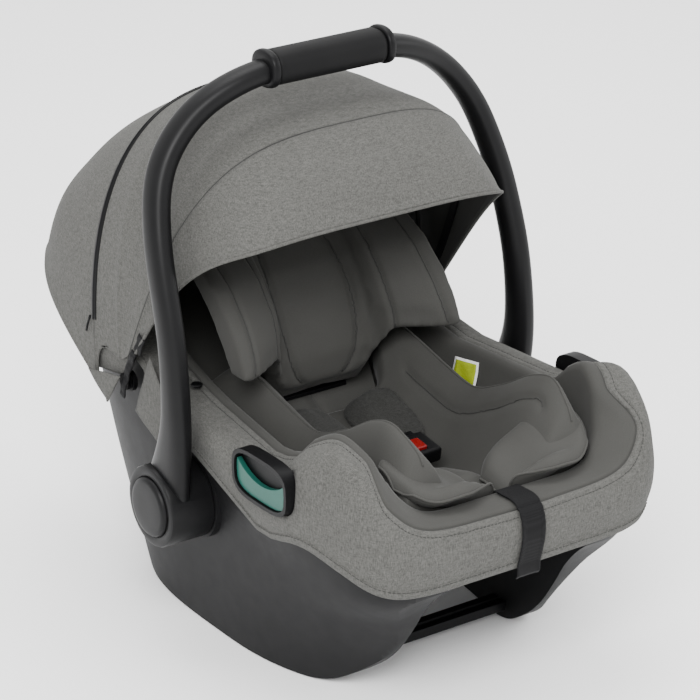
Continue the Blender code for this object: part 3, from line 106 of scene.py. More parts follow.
# Handle and its hubs
HUB_Y, HUB_Z = -0.0045, 0.148
HUB_INNER_X, HUB_OUTER_X, HUB_RADIUS = 0.1662, 0.2130, 0.040
BOSS_RADIUS, BOSS_START_X = 0.0425, 0.1535
CAP_RADIUS = 0.0295
HANDLE_REACH = 0.398
HANDLE_STATIONS = (0.0, 0.10, 0.25, 0.40, 0.60, 0.78, 0.87, 0.93, 0.97, 0.992, 1.0)
HANDLE_HALF_SPANS = (0.1950, 0.1975, 0.1990, 0.1982, 0.1955, 0.1820, 0.1600, 0.1350, 0.1070, 0.0840, 0.0640)
HANDLE_BOWS = (0.0, -0.016, -0.030, -0.026, -0.004, 0.020, 0.026, 0.026, 0.020, 0.016, 0.014)
ARM_DEPTHS = (0.0340, 0.0260, 0.0175, 0.0155, 0.0150, 0.0150, 0.0150, 0.0148, 0.0145, 0.0140, 0.0138)
ARM_HALF_THICKNESS = 0.0112
HANDLE_STEP, HANDLE_EASINGS = 0.004, 40
GRIP_HALF_LENGTH, GRIP_RISE = 0.060, 0.0012

# Canopy, in polar terms about its pivots
PIVOT_Y, PIVOT_Z = 0.100, 0.230
CANOPY_HALF_WIDTH = 0.1790
CANOPY_ANGLES = (-120.0, -88.0, -75.0, -52.0, -39.5, -24.0, -9.5, 5.0, 16.5, 27.0, 36.5, 46.0)
CANOPY_RADII = (0.230, 0.231, 0.2335, 0.241, 0.2445, 0.253, 0.2665, 0.2785, 0.2885, 0.297, 0.289, 0.272)
CANOPY_POWERS = (4.4, 4.2, 4.2, 4.0, 3.6, 3.2, 2.9, 2.9, 3.1, 3.4, 3.8, 4.6)
MID_BOW_ANGLE, FRONT_BOW_ANGLE, HEM_ANGLE, HEM_SWEEP = -2.0, 26.8, 45.7, 8.5
SKIRT_START, SKIRT_SLOPE, SKIRT_TOP = (0.130, 0.206), 0.60, 0.300
PANEL_END = 0.030
REAR_BLEND_ANGLE, REAR_BLEND, MID_BLEND = -37.0, (-0.040, 0.030), (-0.100, 0.0)
SEAM_ANGLE = 0.15
ZIP_Y, ZIP_GAP = 0.147, 0.0012

# Insert
INSERT_STATIONS = (-0.262, -0.248, -0.213, -0.190, -0.140, -0.090, -0.045, 0.000, 0.031, 0.055, 0.070)
INSERT_CRESTS = (0.240, 0.258, 0.277, 0.271, 0.243, 0.224, 0.232, 0.243, 0.248, 0.236, 0.216)
INSERT_CREST_LEFT, INSERT_CREST_RIGHT = 0.083, 0.098
INSERT_EDGE_X, INSERT_FRONT_Y, INSERT_REAR_Y = 0.114, -0.236, 0.012
INSERT_FILL, INSERT_GAP = 0.024, 0.0012

# Camera, at the angle of the reference view
CAMERA_AZIMUTH, CAMERA_ELEVATION, CAMERA_ROLL = radians(-34.41), radians(22.86), radians(-0.52)
CAMERA_DISTANCE, CAMERA_LENS, CAMERA_TARGET = 3.021, 162.0, (0.0077, -0.0167, 0.2578)


# ---------------------------------------------------------------- curves and grids
def curve_through(stations, values):
    """A smooth function through the stations: monotone cubic, so it never overshoots."""
    xs, ys = np.array(stations), np.array(values)
    widths, slopes = np.diff(xs), np.diff(ys) / np.diff(xs)
    tangents = np.concatenate([[slopes[0]], (slopes[:-1] + slopes[1:]) / 2, [slopes[-1]]])
    for i in range(1, len(xs) - 1):
        if slopes[i - 1] * slopes[i] <= 0:
            tangents[i] = 0.0
        else:
            tangents[i] = 2 / (1 / slopes[i - 1] + 1 / slopes[i])

    def value(x):
        x = min(max(x, xs[0]), xs[-1])
        i = min(int(np.searchsorted(xs, x, side="right")) - 1, len(widths) - 1)
        h = widths[i]
        t = (x - xs[i]) / h
        start = ys[i] * (1 + 2 * t) * (1 - t) ** 2 + h * tangents[i] * t * (1 - t) ** 2
        end = ys[i + 1] * t * t * (3 - 2 * t) + h * tangents[i + 1] * t * t * (t - 1)
        return float(start + end)

    return value


def signed_power(value, power):
    return (1 if value >= 0 else -1) * abs(value) ** power


def smooth_step(value, low, high):
    t = min(max((value - low) / (high - low), 0.0), 1.0)
    return t * t * (3 - 2 * t)


def bell(value, centre, half_width):
    """1 at the centre, falling to nearly 0 at the half width."""
    return np.exp(-((np.asarray(value) - centre) / (half_width * 0.55)) ** 2)


half_width_at = curve_through(SHELL_HEIGHTS, SHELL_HALF_WIDTHS)
front_at = curve_through(SHELL_HEIGHTS, SHELL_FRONTS)
rear_at = curve_through(SHELL_HEIGHTS, SHELL_REARS)
front_power_at = curve_through(SHELL_HEIGHTS, FRONT_POWERS)
rim_top_at = curve_through(RIM_STATIONS, RIM_TOPS)
hem_at = curve_through(HEM_STATIONS, HEM_HEIGHTS)
seat_height_at = curve_through(SEAT_STATIONS, SEAT_HEIGHTS)
roof_at = curve_through(ROOF_STATIONS, ROOF_HEIGHTS)
skid_bottom_at = curve_through(SKID_STATIONS, SKID_BOTTOMS)
canopy_radius_at = curve_through(CANOPY_ANGLES, CANOPY_RADII)
canopy_power_at = curve_through(CANOPY_ANGLES, CANOPY_POWERS)


def halve(low, high, is_low, rounds=30):
    """The value between low and high at which is_low stops being true."""
    for _ in range(rounds):
        middle = (low + high) / 2
        if is_low(middle):
            low = middle
        else:
            high = middle
    return middle


def grid_normals(points, wrap):
    """Unit normals of a grid of points, rows by columns; wrap closes the columns."""
    along = np.gradient(points, axis=0)
    if wrap:
        across = (np.roll(points, -1, axis=1) - np.roll(points, 1, axis=1)) / 2
    else:
        across = np.gradient(points, axis=1)
    normals = np.cross(along, across)
    return normals / np.maximum(np.linalg.norm(normals, axis=2, keepdims=True), 1e-12)


def grid_object(name, points, looks, wrap=False, row_look=None, flip=False):
    """A sheet of quads; row_look gives the material's index for each row of faces."""
    points = np.array(points)
    rows, columns = points.shape[:2]
    spans = columns if wrap else columns - 1
    faces, slots = [], []
    for r in range(rows - 1):
        for c in range(spans):
            a, b = r * columns + c, r * columns + (c + 1) % columns
            quad = (a, b, b + columns, a + columns)
            faces.append(quad[::-1] if flip else quad)
            slots.append(row_look(r) if row_look else 0)
    mesh = bpy.data.meshes.new(name)
    mesh.from_pydata(points.reshape(-1, 3).tolist(), [], faces)
    for look in looks:
        mesh.materials.append(look)
    mesh.polygons.foreach_set("material_index", slots)
    mesh.shade_smooth()
    mesh.update()
    return new_object(name, mesh)


def new_object(name, data):
    obj = bpy.data.objects.new(name, data)
    bpy.context.scene.collection.objects.link(obj)
    return obj


def merge_close(obj, distance=1e-5):
    work = bmesh.new()
    work.from_mesh(obj.data)
    bmesh.ops.remove_doubles(work, verts=work.verts, dist=distance)
    bmesh.ops.dissolve_degenerate(work, edges=work.edges, dist=1e-7)
    bmesh.ops.recalc_face_normals(work, faces=work.faces)
    work.to_mesh(obj.data)
    work.free()


def modify(obj, kind, **settings):
    """Adds a modifier with these settings."""
    change = obj.modifiers.new(kind.lower(), kind)
    for key, value in settings.items():
        setattr(change, key, value)
    return change


def thicken(obj, thickness, offset=-1.0):
    return modify(obj, "SOLIDIFY", thickness=thickness, offset=offset)


def apply_modifiers(obj):
    graph = bpy.context.evaluated_depsgraph_get()
    mesh = bpy.data.meshes.new_from_object(obj.evaluated_get(graph))
    obj.modifiers.clear()
    obj.data = mesh
    mesh.shade_smooth()


def tube(name, path, radius, look):
    """A round cord along points."""
    curve = bpy.data.curves.new(name, "CURVE")
    curve.dimensions = "3D"
    curve.bevel_depth = radius
    curve.bevel_resolution = 1
    curve.use_fill_caps = True
    spline = curve.splines.new("POLY")
    spline.points.add(len(path) - 1)
    for point, place in zip(spline.points, path):
        point.co = (*place, 1.0)
    line = new_object(name, curve)
    graph = bpy.context.evaluated_depsgraph_get()
    mesh = bpy.data.meshes.new_from_object(line.evaluated_get(graph))
    bpy.data.objects.remove(line)
    mesh.name = name
    mesh.materials.clear()
    mesh.materials.append(look)
    obj = new_object(name, mesh)
    merge_close(obj)
    mesh.shade_smooth()
    return obj


def lengths_along(path):
    """Distance of each point from the first one, along the path."""
    return np.concatenate([[0.0], np.cumsum(np.linalg.norm(np.diff(path, axis=0), axis=1))])


def at_marks(rows, lengths, marks):
    """Rows read off at these marks, where the given rows stand at the lengths."""
    return np.stack([np.interp(marks, lengths, column) for column in rows.T], axis=-1)


def even_steps(path, step):
    """The path again, with points this far apart."""
    path = np.array(path, float)
    lengths = lengths_along(path)
    marks = np.arange(0.0, lengths[-1], step)
    return at_marks(path, lengths, marks)


def stitches(name, path, normals_from, look, length=0.0030, gap=0.0014, radius=0.00032, lift=0.0):
    """A row of sewing stitches on a surface, each a short thread that dips at both ends."""
    spots = even_steps(path, (length + gap) / 2)
    points, faces = [], []
    for i in range(0, len(spots) - 2, 2):
        ends = [Vector(spots[i]), Vector(spots[i + 1] + (spots[i + 1] - spots[i]) * 0.35)]
        up = Vector(normals_from(ends[0])).normalized()
        side = (ends[1] - ends[0]).cross(up).normalized()
        for share, height in ((0.0, -0.6), (0.2, 0.5), (0.8, 0.5), (1.0, -0.6)):
            middle = ends[0].lerp(ends[1], share) + up * (lift + height * radius)
            for turn in range(4):
                angle = tau * turn / 4
                points.append(middle + (side * cos(angle) + up * sin(angle)) * radius)
        base = len(points) - 16
        for ring in range(3):
            for turn in range(4):
                a, b = base + ring * 4 + turn, base + ring * 4 + (turn + 1) % 4
                faces.append((a, b, b + 4, a + 4))
        faces.append((base + 3, base + 2, base + 1, base))
        faces.append((base + 12, base + 13, base + 14, base + 15))
    mesh = bpy.data.meshes.new(name)
    mesh.from_pydata([tuple(p) for p in points], [], faces)
    mesh.materials.append(look)
    mesh.shade_smooth()
    return new_object(name, mesh)


# ---------------------------------------------------------------- materials
class Graph:
    """Short names for the nodes of one material."""

    def __init__(self, name):
        self.material = bpy.data.materials.new(name)
        self.material.use_nodes = True
        self.tree = self.material.node_tree
        self.shader = self.tree.nodes["Principled BSDF"]
        self.place = self.tree.nodes.new("ShaderNodeTexCoord").outputs["Object"]

    def link(self, source, target):
        self.tree.links.new(source, target)

    def fill(self, node, inputs):
        """Feeds each named input with a socket or a plain value."""
        for key, value in inputs.items():
            if isinstance(value, bpy.types.NodeSocket):
                self.link(value, node.inputs[key])
            else:
                node.inputs[key].default_value = value

    def node(self, kind, output, inputs, **settings):
        """A new node's output."""
        node = self.tree.nodes.new("ShaderNode" + kind)
        for key, value in settings.items():
            setattr(node, key, value)
        self.fill(node, inputs)
        return node.outputs[output]

    def set(self, **inputs):
        """Sets or feeds the shader's inputs; an underscore stands for a space."""
        self.fill(self.shader, {key.replace("_", " "): value for key, value in inputs.items()})

    def noise(self, scale, detail=2.0, roughness=0.5, stretch=(1, 1, 1)):
        place = self.node("Mapping", "Vector", {"Scale": stretch, "Vector": self.place})
        return self.node("TexNoise", "Fac", {"Scale": scale, "Detail": detail, "Roughness": roughness,
                                             "Vector": place})

    def wave(self, scale, direction, distortion=0.0):
        return self.node("TexWave", "Fac", {"Scale": scale, "Distortion": distortion, "Vector": self.place},
                         bands_direction=direction)

    def ramp(self, factor, stops):
        node = self.tree.nodes.new("ShaderNodeValToRGB")
        while len(node.color_ramp.elements) < len(stops):
            node.color_ramp.elements.new(0.5)
        for element, (position, colour) in zip(node.color_ramp.elements, stops):
            element.position = position
            element.color = (*colour, 1.0)
        self.link(factor, node.inputs["Fac"])
        return node.outputs["Color"]

    def add(self, first, second):
        return self.node("Math", 0, {0: first, 1: second}, operation="ADD")

    def times(self, first, second):
        return self.node("Math", 0, {0: first, 1: second}, operation="MULTIPLY")

    def bump(self, height, strength, distance):
        self.set(Normal=self.node("Bump", "Normal", {"Strength": strength, "Distance": distance,
                                                     "Height": height}))

    def roughness(self, factor, low, high):
        self.set(Roughness=self.node("MapRange", "Result", {"To Min": low, "To Max": high, "Value": factor}))


def melange(name, dark, light, thread=1.0):
    """Woven two-tone cloth: slubs along both threads over a fine plain weave."""
    g = Graph(name)
    upright = g.noise(950 / thread, 3.0, 0.65, stretch=(1.0, 1.0, 0.22))
    level = g.noise(860 / thread, 3.0, 0.65, stretch=(0.25, 0.25, 1.0))
    yarns = g.add(g.times(upright, 0.6), g.times(level, 0.4))
    middle = [(a + b) / 2 for a, b in zip(dark, light)]
    tone = g.ramp(yarns, ((0.36, dark), (0.50, middle), (0.64, light)))
    patches = g.noise(9.0, 2.0)
    shade = g.ramp(patches, ((0.3, (0.93, 0.93, 0.93)), (0.7, (1.0, 1.0, 1.0))))
    g.set(Base_Color=g.node("Mix", 2, {0: 1.0, 6: tone, 7: shade}, data_type="RGBA", blend_type="MULTIPLY"))
    fuzz = g.times(g.noise(2600, 1.0), 0.5)
    g.bump(g.add(yarns, fuzz), strength=0.55, distance=0.0006)
    g.roughness(yarns, low=0.80, high=0.96)
    g.set(Sheen_Weight=0.03, Sheen_Roughness=0.5, Specular_IOR_Level=0.12)
    return g.material


def knit(name, dark, light):
    """Smooth brushed jersey: a close mesh of small loops with a soft sheen."""
    g = Graph(name)
    pile = g.noise(1500, 2.0, 0.6)
    patches = g.noise(14.0, 3.0)
    blend = g.add(g.times(pile, 0.65), g.times(patches, 0.35))
    g.set(Base_Color=g.ramp(blend, ((0.32, dark), (0.66, light))))
    loops = g.times(g.noise(420, 2.0), 0.5)
    g.bump(g.add(pile, loops), strength=0.22, distance=0.0004)
    g.roughness(pile, low=0.72, high=0.88)
    g.set(Sheen_Weight=0.05, Sheen_Roughness=0.38, Specular_IOR_Level=0.16)
    return g.material


def plastic(name, colour, low, high, grain=1900, depth=0.12, specular=0.45):
    """Moulded plastic with a fine spark-eroded grain and slightly uneven gloss."""
    g = Graph(name)
    patches = g.noise(22.0, 4.0, 0.6)
    lighter = [c * 1.2 + 0.0006 for c in colour]
    g.set(Base_Color=g.ramp(patches, ((0.3, colour), (0.75, lighter))), Specular_IOR_Level=specular)
    g.bump(g.noise(grain, 2.0, 0.7), strength=depth, distance=0.0003)
    g.roughness(g.noise(60.0, 3.0), low, high)
    return g.material


def webbing(name, colour):
    """Close-woven strap: ribs both ways."""
    g = Graph(name)
    ribs = g.times(g.wave(330, "Y", 0.4), g.wave(330, "X", 0.4))
    fibres = g.noise(1700, 2.0)
    tone = g.add(g.times(ribs, 0.5), g.times(fibres, 0.5))
    lighter = [c * 2.4 + 0.003 for c in colour]
    g.set(Base_Color=g.ramp(tone, ((0.2, colour), (0.9, lighter))), Specular_IOR_Level=0.12)
    g.bump(tone, strength=0.5, distance=0.0005)
    g.roughness(fibres, low=0.6, high=0.8)
    return g.material


def steel(name):
    g = Graph(name)
    tone = g.ramp(g.noise(40.0, 2.0), ((0.3, (0.45, 0.45, 0.46)), (0.7, (0.62, 0.62, 0.62))))
    g.set(Base_Color=tone, Metallic=1.0)
    g.roughness(g.noise(300.0, 2.0), low=0.25, high=0.42)
    return g.material


def bead_foam(name):
    g = Graph(name)
    cells = g.node("TexVoronoi", "Distance", {"Scale": 260, "Vector": g.place})
    tone = g.ramp(cells, ((0.0, (0.06, 0.06, 0.06)), (0.6, (0.035, 0.035, 0.035))))
    g.set(Base_Color=tone, Roughness=0.85)
    g.bump(cells, strength=0.4, distance=0.001)
    return g.material


MELANGE = melange("melange_fabric", (0.042, 0.042, 0.039), (0.092, 0.091, 0.085))
DARK_MELANGE = melange("dark_melange_fabric", (0.014, 0.014, 0.013), (0.036, 0.036, 0.034), 0.8)
KNIT = knit("knit_fabric", (0.030, 0.0298, 0.0275), (0.043, 0.0425, 0.0395))
LINING = knit("lining_fabric", (0.026, 0.026, 0.025), (0.036, 0.036, 0.034))
THREAD = plastic("sewing_thread", (0.022, 0.022, 0.021), 0.6, 0.75, specular=0.2)
SHELL_PLASTIC = plastic("shell_plastic", (0.0050, 0.0050, 0.0054), 0.46, 0.58, specular=0.11)
HANDLE_PLASTIC = plastic("handle_plastic", (0.0032, 0.0032, 0.0035), 0.36, 0.46, specular=0.14)
SOFT_GRIP = plastic("soft_grip", (0.0024, 0.0024, 0.0026), 0.52, 0.64, grain=1200, depth=0.22, specular=0.12)
BLACK_PLASTIC = plastic("black_plastic", (0.0022, 0.0022, 0.0025), 0.36, 0.48, specular=0.12)
RUBBER = plastic("rubber", (0.006, 0.006, 0.006), 0.7, 0.8, specular=0.15)
TEAL_PLASTIC = plastic("teal_plastic", (0.0055, 0.058, 0.044), 0.32, 0.42, specular=0.25)
RED_PLASTIC = plastic("red_plastic", (0.13, 0.003, 0.003), 0.22, 0.3, specular=0.3)
WEBBING = webbing("webbing", (0.0022, 0.0022, 0.0025))
STEEL = steel("steel")
FOAM = bead_foam("foam")
LIME = melange("tag_lime", (0.20, 0.25, 0.006), (0.28, 0.34, 0.014), 0.6)
WHITE_TAPE = melange("tag_white", (0.55, 0.55, 0.54), (0.72, 0.72, 0.71), 0.6)

SLOT_LOOKS = {
    "shell_plastic": SHELL_PLASTIC,
    "handle_plastic": HANDLE_PLASTIC,
    "soft_grip": SOFT_GRIP,
    "black_plastic": BLACK_PLASTIC,
    "teal_plastic": TEAL_PLASTIC,
    "red_plastic": RED_PLASTIC,
    "rubber": RUBBER,
    "foam": FOAM,
    "melange_fabric": MELANGE,
    "knit_fabric": KNIT,
    "webbing": WEBBING,
    "steel": STEEL,
}


def dress_frame():
    """Each carried-over part gets its material, welded corners and finely rounded edges."""
    slots = {part["node"]: part["material_slot"] for part in frame["record"]["subparts"]}
    for name, node in NODES.items():
        node.data.materials.clear()
        node.data.materials.append(SLOT_LOOKS[slots[name]])
        node.data.shade_smooth()
        modify(node, "WELD", merge_threshold=1e-5)
        modify(node, "BEVEL", width=0.0006, segments=2, limit_method="ANGLE", angle_limit=radians(38))
        modify(node, "WEIGHTED_NORMAL", keep_sharp=True)


# ---------------------------------------------------------------- seat cover
def outline(angle, z, offset=0.0):
    power = front_power_at(z) if cos(angle) > 0 else REAR_POWER
    half, front, rear = half_width_at(z) + offset, front_at(z) - offset, rear_at(z) + offset
    reach = OUTLINE_CENTRE_Y - front if cos(angle) > 0 else rear - OUTLINE_CENTRE_Y
    y = OUTLINE_CENTRE_Y - reach * signed_power(cos(angle), 2 / power)
    x = half * signed_power(sin(angle), 2 / power)
    swell = GUIDE_BULGE * exp(-(((y - GUIDE_Y) / BULGE_SPREAD) ** 2)) * smooth_step(z, 0.12, 0.21)
    return x + swell * signed_power(sin(angle), 2), y


def height_on_outline(angle, profile, offset=0.0):
    z = 0.2
    for _ in range(6):
        z = profile(outline(angle, z, offset)[1])
    return z


def shell_top_at(y):
    drop = SHELL_DROP_FRONT + (SHELL_DROP_REAR - SHELL_DROP_FRONT) * smooth_step(y, *FRONT_TO_REAR)
    return rim_top_at(y) - drop


def well_point(angle, s, inset, base=seat_height_at, lift=0.0, top=rim_top_at):
    z_rim = height_on_outline(angle, top)
    x_floor = FLOOR_HALF_WIDTH * signed_power(sin(angle), 0.8)
    middle = (FLOOR_FRONT + FLOOR_REAR) / 2
    y_floor = middle - (FLOOR_REAR - FLOOR_FRONT) / 2 * signed_power(cos(angle), 0.8)
    turn = s * pi / 2
    across, down = cos(turn) ** (2 / 2.6), sin(turn) ** (2 / 1.9)
    z = z_rim + (base(y_floor) + lift - z_rim) * down
    x_wall, y_wall = outline(angle, z, -inset)
    return x_floor + (x_wall - x_floor) * across, y_floor + (y_wall - y_floor) * across, z


def flank_point(angle, level):
    near = outline(angle, 0.2)[1]
    standoff = COVER_STANDOFF + (REAR_STANDOFF - COVER_STANDOFF) * smooth_step(near, *FRONT_TO_REAR)
    hem = height_on_outline(angle, hem_at)
    z = hem + (height_on_outline(angle, rim_top_at) - hem) * sin(level * pi / 2)
    lean = 0.5 * RIM_WIDTH * (1 - cos(level * pi / 2)) ** 1.6
    return (*outline(angle, z, standoff + COVER_THICKNESS - lean), z)


COVER_COLUMNS = 192
# Distances from the seam between cloth and knit, outwards negative: rows crowd round it and its topstitching.
RIM_ROWS = (-0.024, -0.018, -0.0130, -0.0105, -0.0090, -0.0080, -0.0070, -0.0055, -0.0035, -0.0018, -0.0008,
            0.0, 0.0008, 0.0018, 0.0035, 0.0060, 0.0100, 0.0150, 0.0220, 0.0310)
TOPSTITCH, SEAM = -0.0080, 0.0
SEAM_DROP = 0.026  # how far down the outside of the lip the seam runs; on the flanks it follows the crest
FLANK_ROWS, WELL_ROWS = 16, 22
HEM_BAND = 0.0105
FLOOR_SHARES = (0.72, 0.45, 0.2, 0.0)


def cover_column(angle):
    """Points down one column of the cover, from hem to floor, and each point's distance from the crest."""
    dense = [flank_point(angle, level) for level in np.linspace(0, 1, 60)]
    crest = len(dense) - 1
    dense += [well_point(angle, s, RIM_WIDTH) for s in np.linspace(0, 1, 90)]
    dense = np.array(dense)
    lengths = lengths_along(dense)
    lengths -= (lengths[crest] + lengths[crest + 1]) / 2
    lengths += SEAM_DROP * smooth_step(cos(angle), 0.55, 0.8) - 0.002
    outer = np.linspace(lengths[0], RIM_ROWS[0], FLANK_ROWS, endpoint=False)
    inner = np.linspace(RIM_ROWS[-1], lengths[-1], WELL_ROWS + 1)[1:]
    marks = np.concatenate([outer, RIM_ROWS, inner])
    return at_marks(dense, lengths, marks), marks


def cover_grid():
    columns = [cover_column(tau * c / COVER_COLUMNS) for c in range(COVER_COLUMNS)]
    points = np.stack([points for points, _ in columns], axis=1)
    marks = np.stack([marks for _, marks in columns], axis=1)
    for _ in range(2):  # ease the corner where flank and well meet
        points[1:-1] = points[1:-1] * 0.5 + (points[:-2] + points[2:]) * 0.25
    normals = -grid_normals(points, True)
    push = -0.0010 * bell(marks, TOPSTITCH, 0.0022) - 0.0022 * bell(marks, SEAM, 0.0020)
    push += 0.0009 * bell(marks, 0.012, 0.014)
    for r in range(points.shape[0]):
        for c in range(points.shape[1]):
            place = Vector(points[r, c])
            push[r, c] += 0.0007 * noise.noise(place * 17) + 0.00035 * noise.noise(place * 55)
    points = points + normals * push[..., None]
    return points, normals, marks


def make_cover():
    points, normals, marks = cover_grid()
    rings = [points]
    for share in FLOOR_SHARES:
        ring = points[-1:].copy()
        ring[..., 0] *= share
        rings.append(ring)
    whole = np.concatenate(rings, axis=0)
    first_knit = FLANK_ROWS + RIM_ROWS.index(SEAM)
    cover = grid_object("seat_cover_fabric", whole, [MELANGE, KNIT], wrap=True,
                        row_look=lambda r: 0 if r < first_knit else 1, flip=True)
    merge_close(cover)
    thicken(cover, COVER_CLOTH)
    for side in (-1, 1):
        modify(cover, "BOOLEAN", solver="EXACT", object=guide_cutter(side))
    apply_modifiers(cover)
    for cutter in [o for o in bpy.data.objects if o.name.startswith("guide_cutter")]:
        bpy.data.objects.remove(cutter)
    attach(cover, "seat")
    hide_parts("seat_cover")
    make_hem_band(points, normals)
    tree = tree_of(cover)

    def round_line(mark):
        line = points[FLANK_ROWS + RIM_ROWS.index(mark)]
        return np.concatenate([line, line[:1]])

    sewing = stitches("rim_topstitch", round_line(TOPSTITCH), lambda p: tree.find_nearest(p)[1], THREAD,
                      length=0.0026, lift=0.0002)
    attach(sewing, "seat")
    seam = tube("rim_seam", [tree.find_nearest(Vector(p))[0] for p in round_line(SEAM)], 0.00045, THREAD)
    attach(seam, "seat")
    return cover


def guide_cutter(side, steps=40, power=3.4):
    """A rounded block that clears the cover round a belt guide."""
    points = []
    for x in (-0.015, 0.015):
        for i in range(steps):
            turn = tau * i / steps
            y = signed_power(cos(turn), 2 / power) * (GUIDE_LENGTH + GUIDE_GAP) / 2
            z = signed_power(sin(turn), 2 / power) * (GUIDE_HEIGHT + GUIDE_GAP) / 2
            points.append((side * GUIDE_FACE_X + x, GUIDE_Y + y, GUIDE_Z + z))
    faces = [tuple(range(steps))[::-1], tuple(range(steps, 2 * steps))]
    faces += [(i, (i + 1) % steps, steps + (i + 1) % steps, steps + i) for i in range(steps)]
    mesh = bpy.data.meshes.new("guide_cutter")
    mesh.from_pydata(points, [], faces)
    obj = new_object("guide_cutter", mesh)
    merge_close(obj)
    obj.hide_render = True
    return obj


def make_hem_band(points, normals):
    """Folded binding round the lower edge of the cover, with its row of stitches."""
    loops = []
    for c in range(COVER_COLUMNS):
        column = points[:, c]
        low, high = column[0], at_marks(column, lengths_along(column), HEM_BAND)
        loop = []
        for turn in np.linspace(0, tau, 12, endpoint=False):
            along = signed_power(sin(turn), 0.55) * 0.5 + 0.5
            out_by = signed_power(cos(turn), 0.7) * 0.0024 - 0.0009
            loop.append(low + (high - low) * along + normals[1, c] * out_by)
        loops.append(loop)
    grid = np.array(loops + loops[:1])
    band = grid_object("cover_hem_band", np.concatenate([grid, grid[:, :1]], axis=1), [MELANGE])
    merge_close(band)
    band.data.shade_smooth()
    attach(band, "seat")
    tree = tree_of(band)
    line = grid[:, 1] * 0.7 + grid[:, 2] * 0.3
    thread = stitches("cover_hem_stitches", line, lambda p: tree.find_nearest(p)[1], THREAD, lift=0.0002)
    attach(thread, "seat")


def tree_of(obj):
    """Search tree over an object's triangles."""
    mesh = obj.data
    mesh.calc_loop_triangles()
    triangles = [tuple(t.vertices) for t in mesh.loop_triangles]
    return BVHTree.FromPolygons([v.co.copy() for v in mesh.vertices], triangles)


# ---------------------------------------------------------------- shell
def cap_faces(base, count):
    """Closes a ring that is symmetric about the middle plane with faces from side to side."""
    faces = []
    for i in range(count // 2):
        quad = (i, i + 1, (count - i - 1) % count, (count - i) % count)
        faces.append([base + k for k in dict.fromkeys(quad)])
    return faces


def add_faces(obj, faces):
    """Adds faces between a mesh's points and turns all faces outwards."""
    work = bmesh.new()
    work.from_mesh(obj.data)
    work.verts.ensure_lookup_table()
    for face in faces:
        work.faces.new([work.verts[k] for k in face])
    bmesh.ops.recalc_face_normals(work, faces=work.faces)
    work.to_mesh(obj.data)
    work.free()


def closed_loft(name, rings, look):
    """A closed body through rings of equally many points."""
    obj = grid_object(name, rings, [look], wrap=True)
    count = len(rings[0])
    add_faces(obj, [range(base, base + count) for base in (0, (len(rings) - 1) * count)])
    return obj


def combine(body, other, operation="DIFFERENCE"):
    """Joins or cuts with another closed body, which is used up."""
    modify(body, "BOOLEAN", operation=operation, solver="EXACT", object=other)
    apply_modifiers(body)
    bpy.data.objects.remove(other)


def round_edges(obj, width, angle=32):
    modify(obj, "BEVEL", width=width, segments=3, limit_method="ANGLE", angle_limit=radians(angle),
           harden_normals=True)
    apply_modifiers(obj)


def turned(name, profile, side, look, steps=96):
    """A round body about a hub's axis from (distance out, radius) pairs."""
    turns = [tau * i / steps for i in range(steps)]
    rows = [[(side * x, HUB_Y + radius * cos(turn), HUB_Z + radius * sin(turn)) for turn in turns]
            for x, radius in profile]
    obj = grid_object(name, rows, [look], wrap=True)
    merge_close(obj)
    return obj


def make_shell():
    """The bucket and its skids, from the same curves as the solid but with finer steps."""
    angles = [tau * c / COVER_COLUMNS for c in range(COVER_COLUMNS)]
    rings = [[well_point(a, share, SHELL_WALL, roof_at, SHELL_WALL, shell_top_at) for a in angles]
             for share in np.linspace(1, 0, 14)]
    for level in np.linspace(1, 0, 26):
        ring = []
        for angle in angles:
            top = height_on_outline(angle, shell_top_at)
            z = SHELL_START_Z + (top - SHELL_START_Z) * level
            ring.append((*outline(angle, z), z))
        rings.append(ring)
    shell = grid_object("shell_moulding", rings, [SHELL_PLASTIC], wrap=True)
    for base in (0, (len(rings) - 1) * COVER_COLUMNS):
        add_faces(shell, cap_faces(base, COVER_COLUMNS))
    combine(shell, tunnel_cutter())
    combine(shell, skid_cutter())
    for side in (-1, 1):
        end = HUB_INNER_X - 0.0004
        profile = ((BOSS_START_X, 0.0), (BOSS_START_X, BOSS_RADIUS), (end, BOSS_RADIUS), (end, 0.0))
        combine(shell, turned("boss", profile, side, SHELL_PLASTIC), "UNION")
    round_edges(shell, width=0.0016)
    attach(shell, "seat")
    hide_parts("shell")


def tunnel_half_at(y):
    return TUNNEL_FRONT_HALF + (TUNNEL_REAR_HALF - TUNNEL_FRONT_HALF) * smooth_step(y, -0.28, 0.05)


def tunnel_cutter():
    rings = []
    for y in np.linspace(-0.40, 0.40, 61):
        half, top = tunnel_half_at(y), roof_at(y)
        ring = [(-half, y, -0.1)]
        for turn in np.linspace(0, pi / 2, 7):
            ring.append((-half + 0.02 * (1 - cos(turn)), y, top - 0.02 + 0.02 * sin(turn)))
        ring += [(-x, y, z) for x, y, z in ring[::-1]]
        rings.append(ring)
    return closed_loft("tunnel_cutter", rings, SHELL_PLASTIC)


def skid_cutter():
    rings = []
    for y in np.linspace(-0.34, 0.30, 129):
        z = skid_bottom_at(y)
        rings.append([(-0.3, y, -0.1), (-0.3, y, z), (0.3, y, z), (0.3, y, -0.1)])
    return closed_loft("skid_cutter", rings, SHELL_PLASTIC)


# ---------------------------------------------------------------- handle
def resample(rows, step):
    """Rows of a place and further values, spread evenly from end to end about a step apart."""
    rows = np.array(rows, float)
    lengths = lengths_along(rows[:, :3])
    marks = np.linspace(0, lengths[-1], int(lengths[-1] / step) + 1)
    return at_marks(rows, lengths, marks)


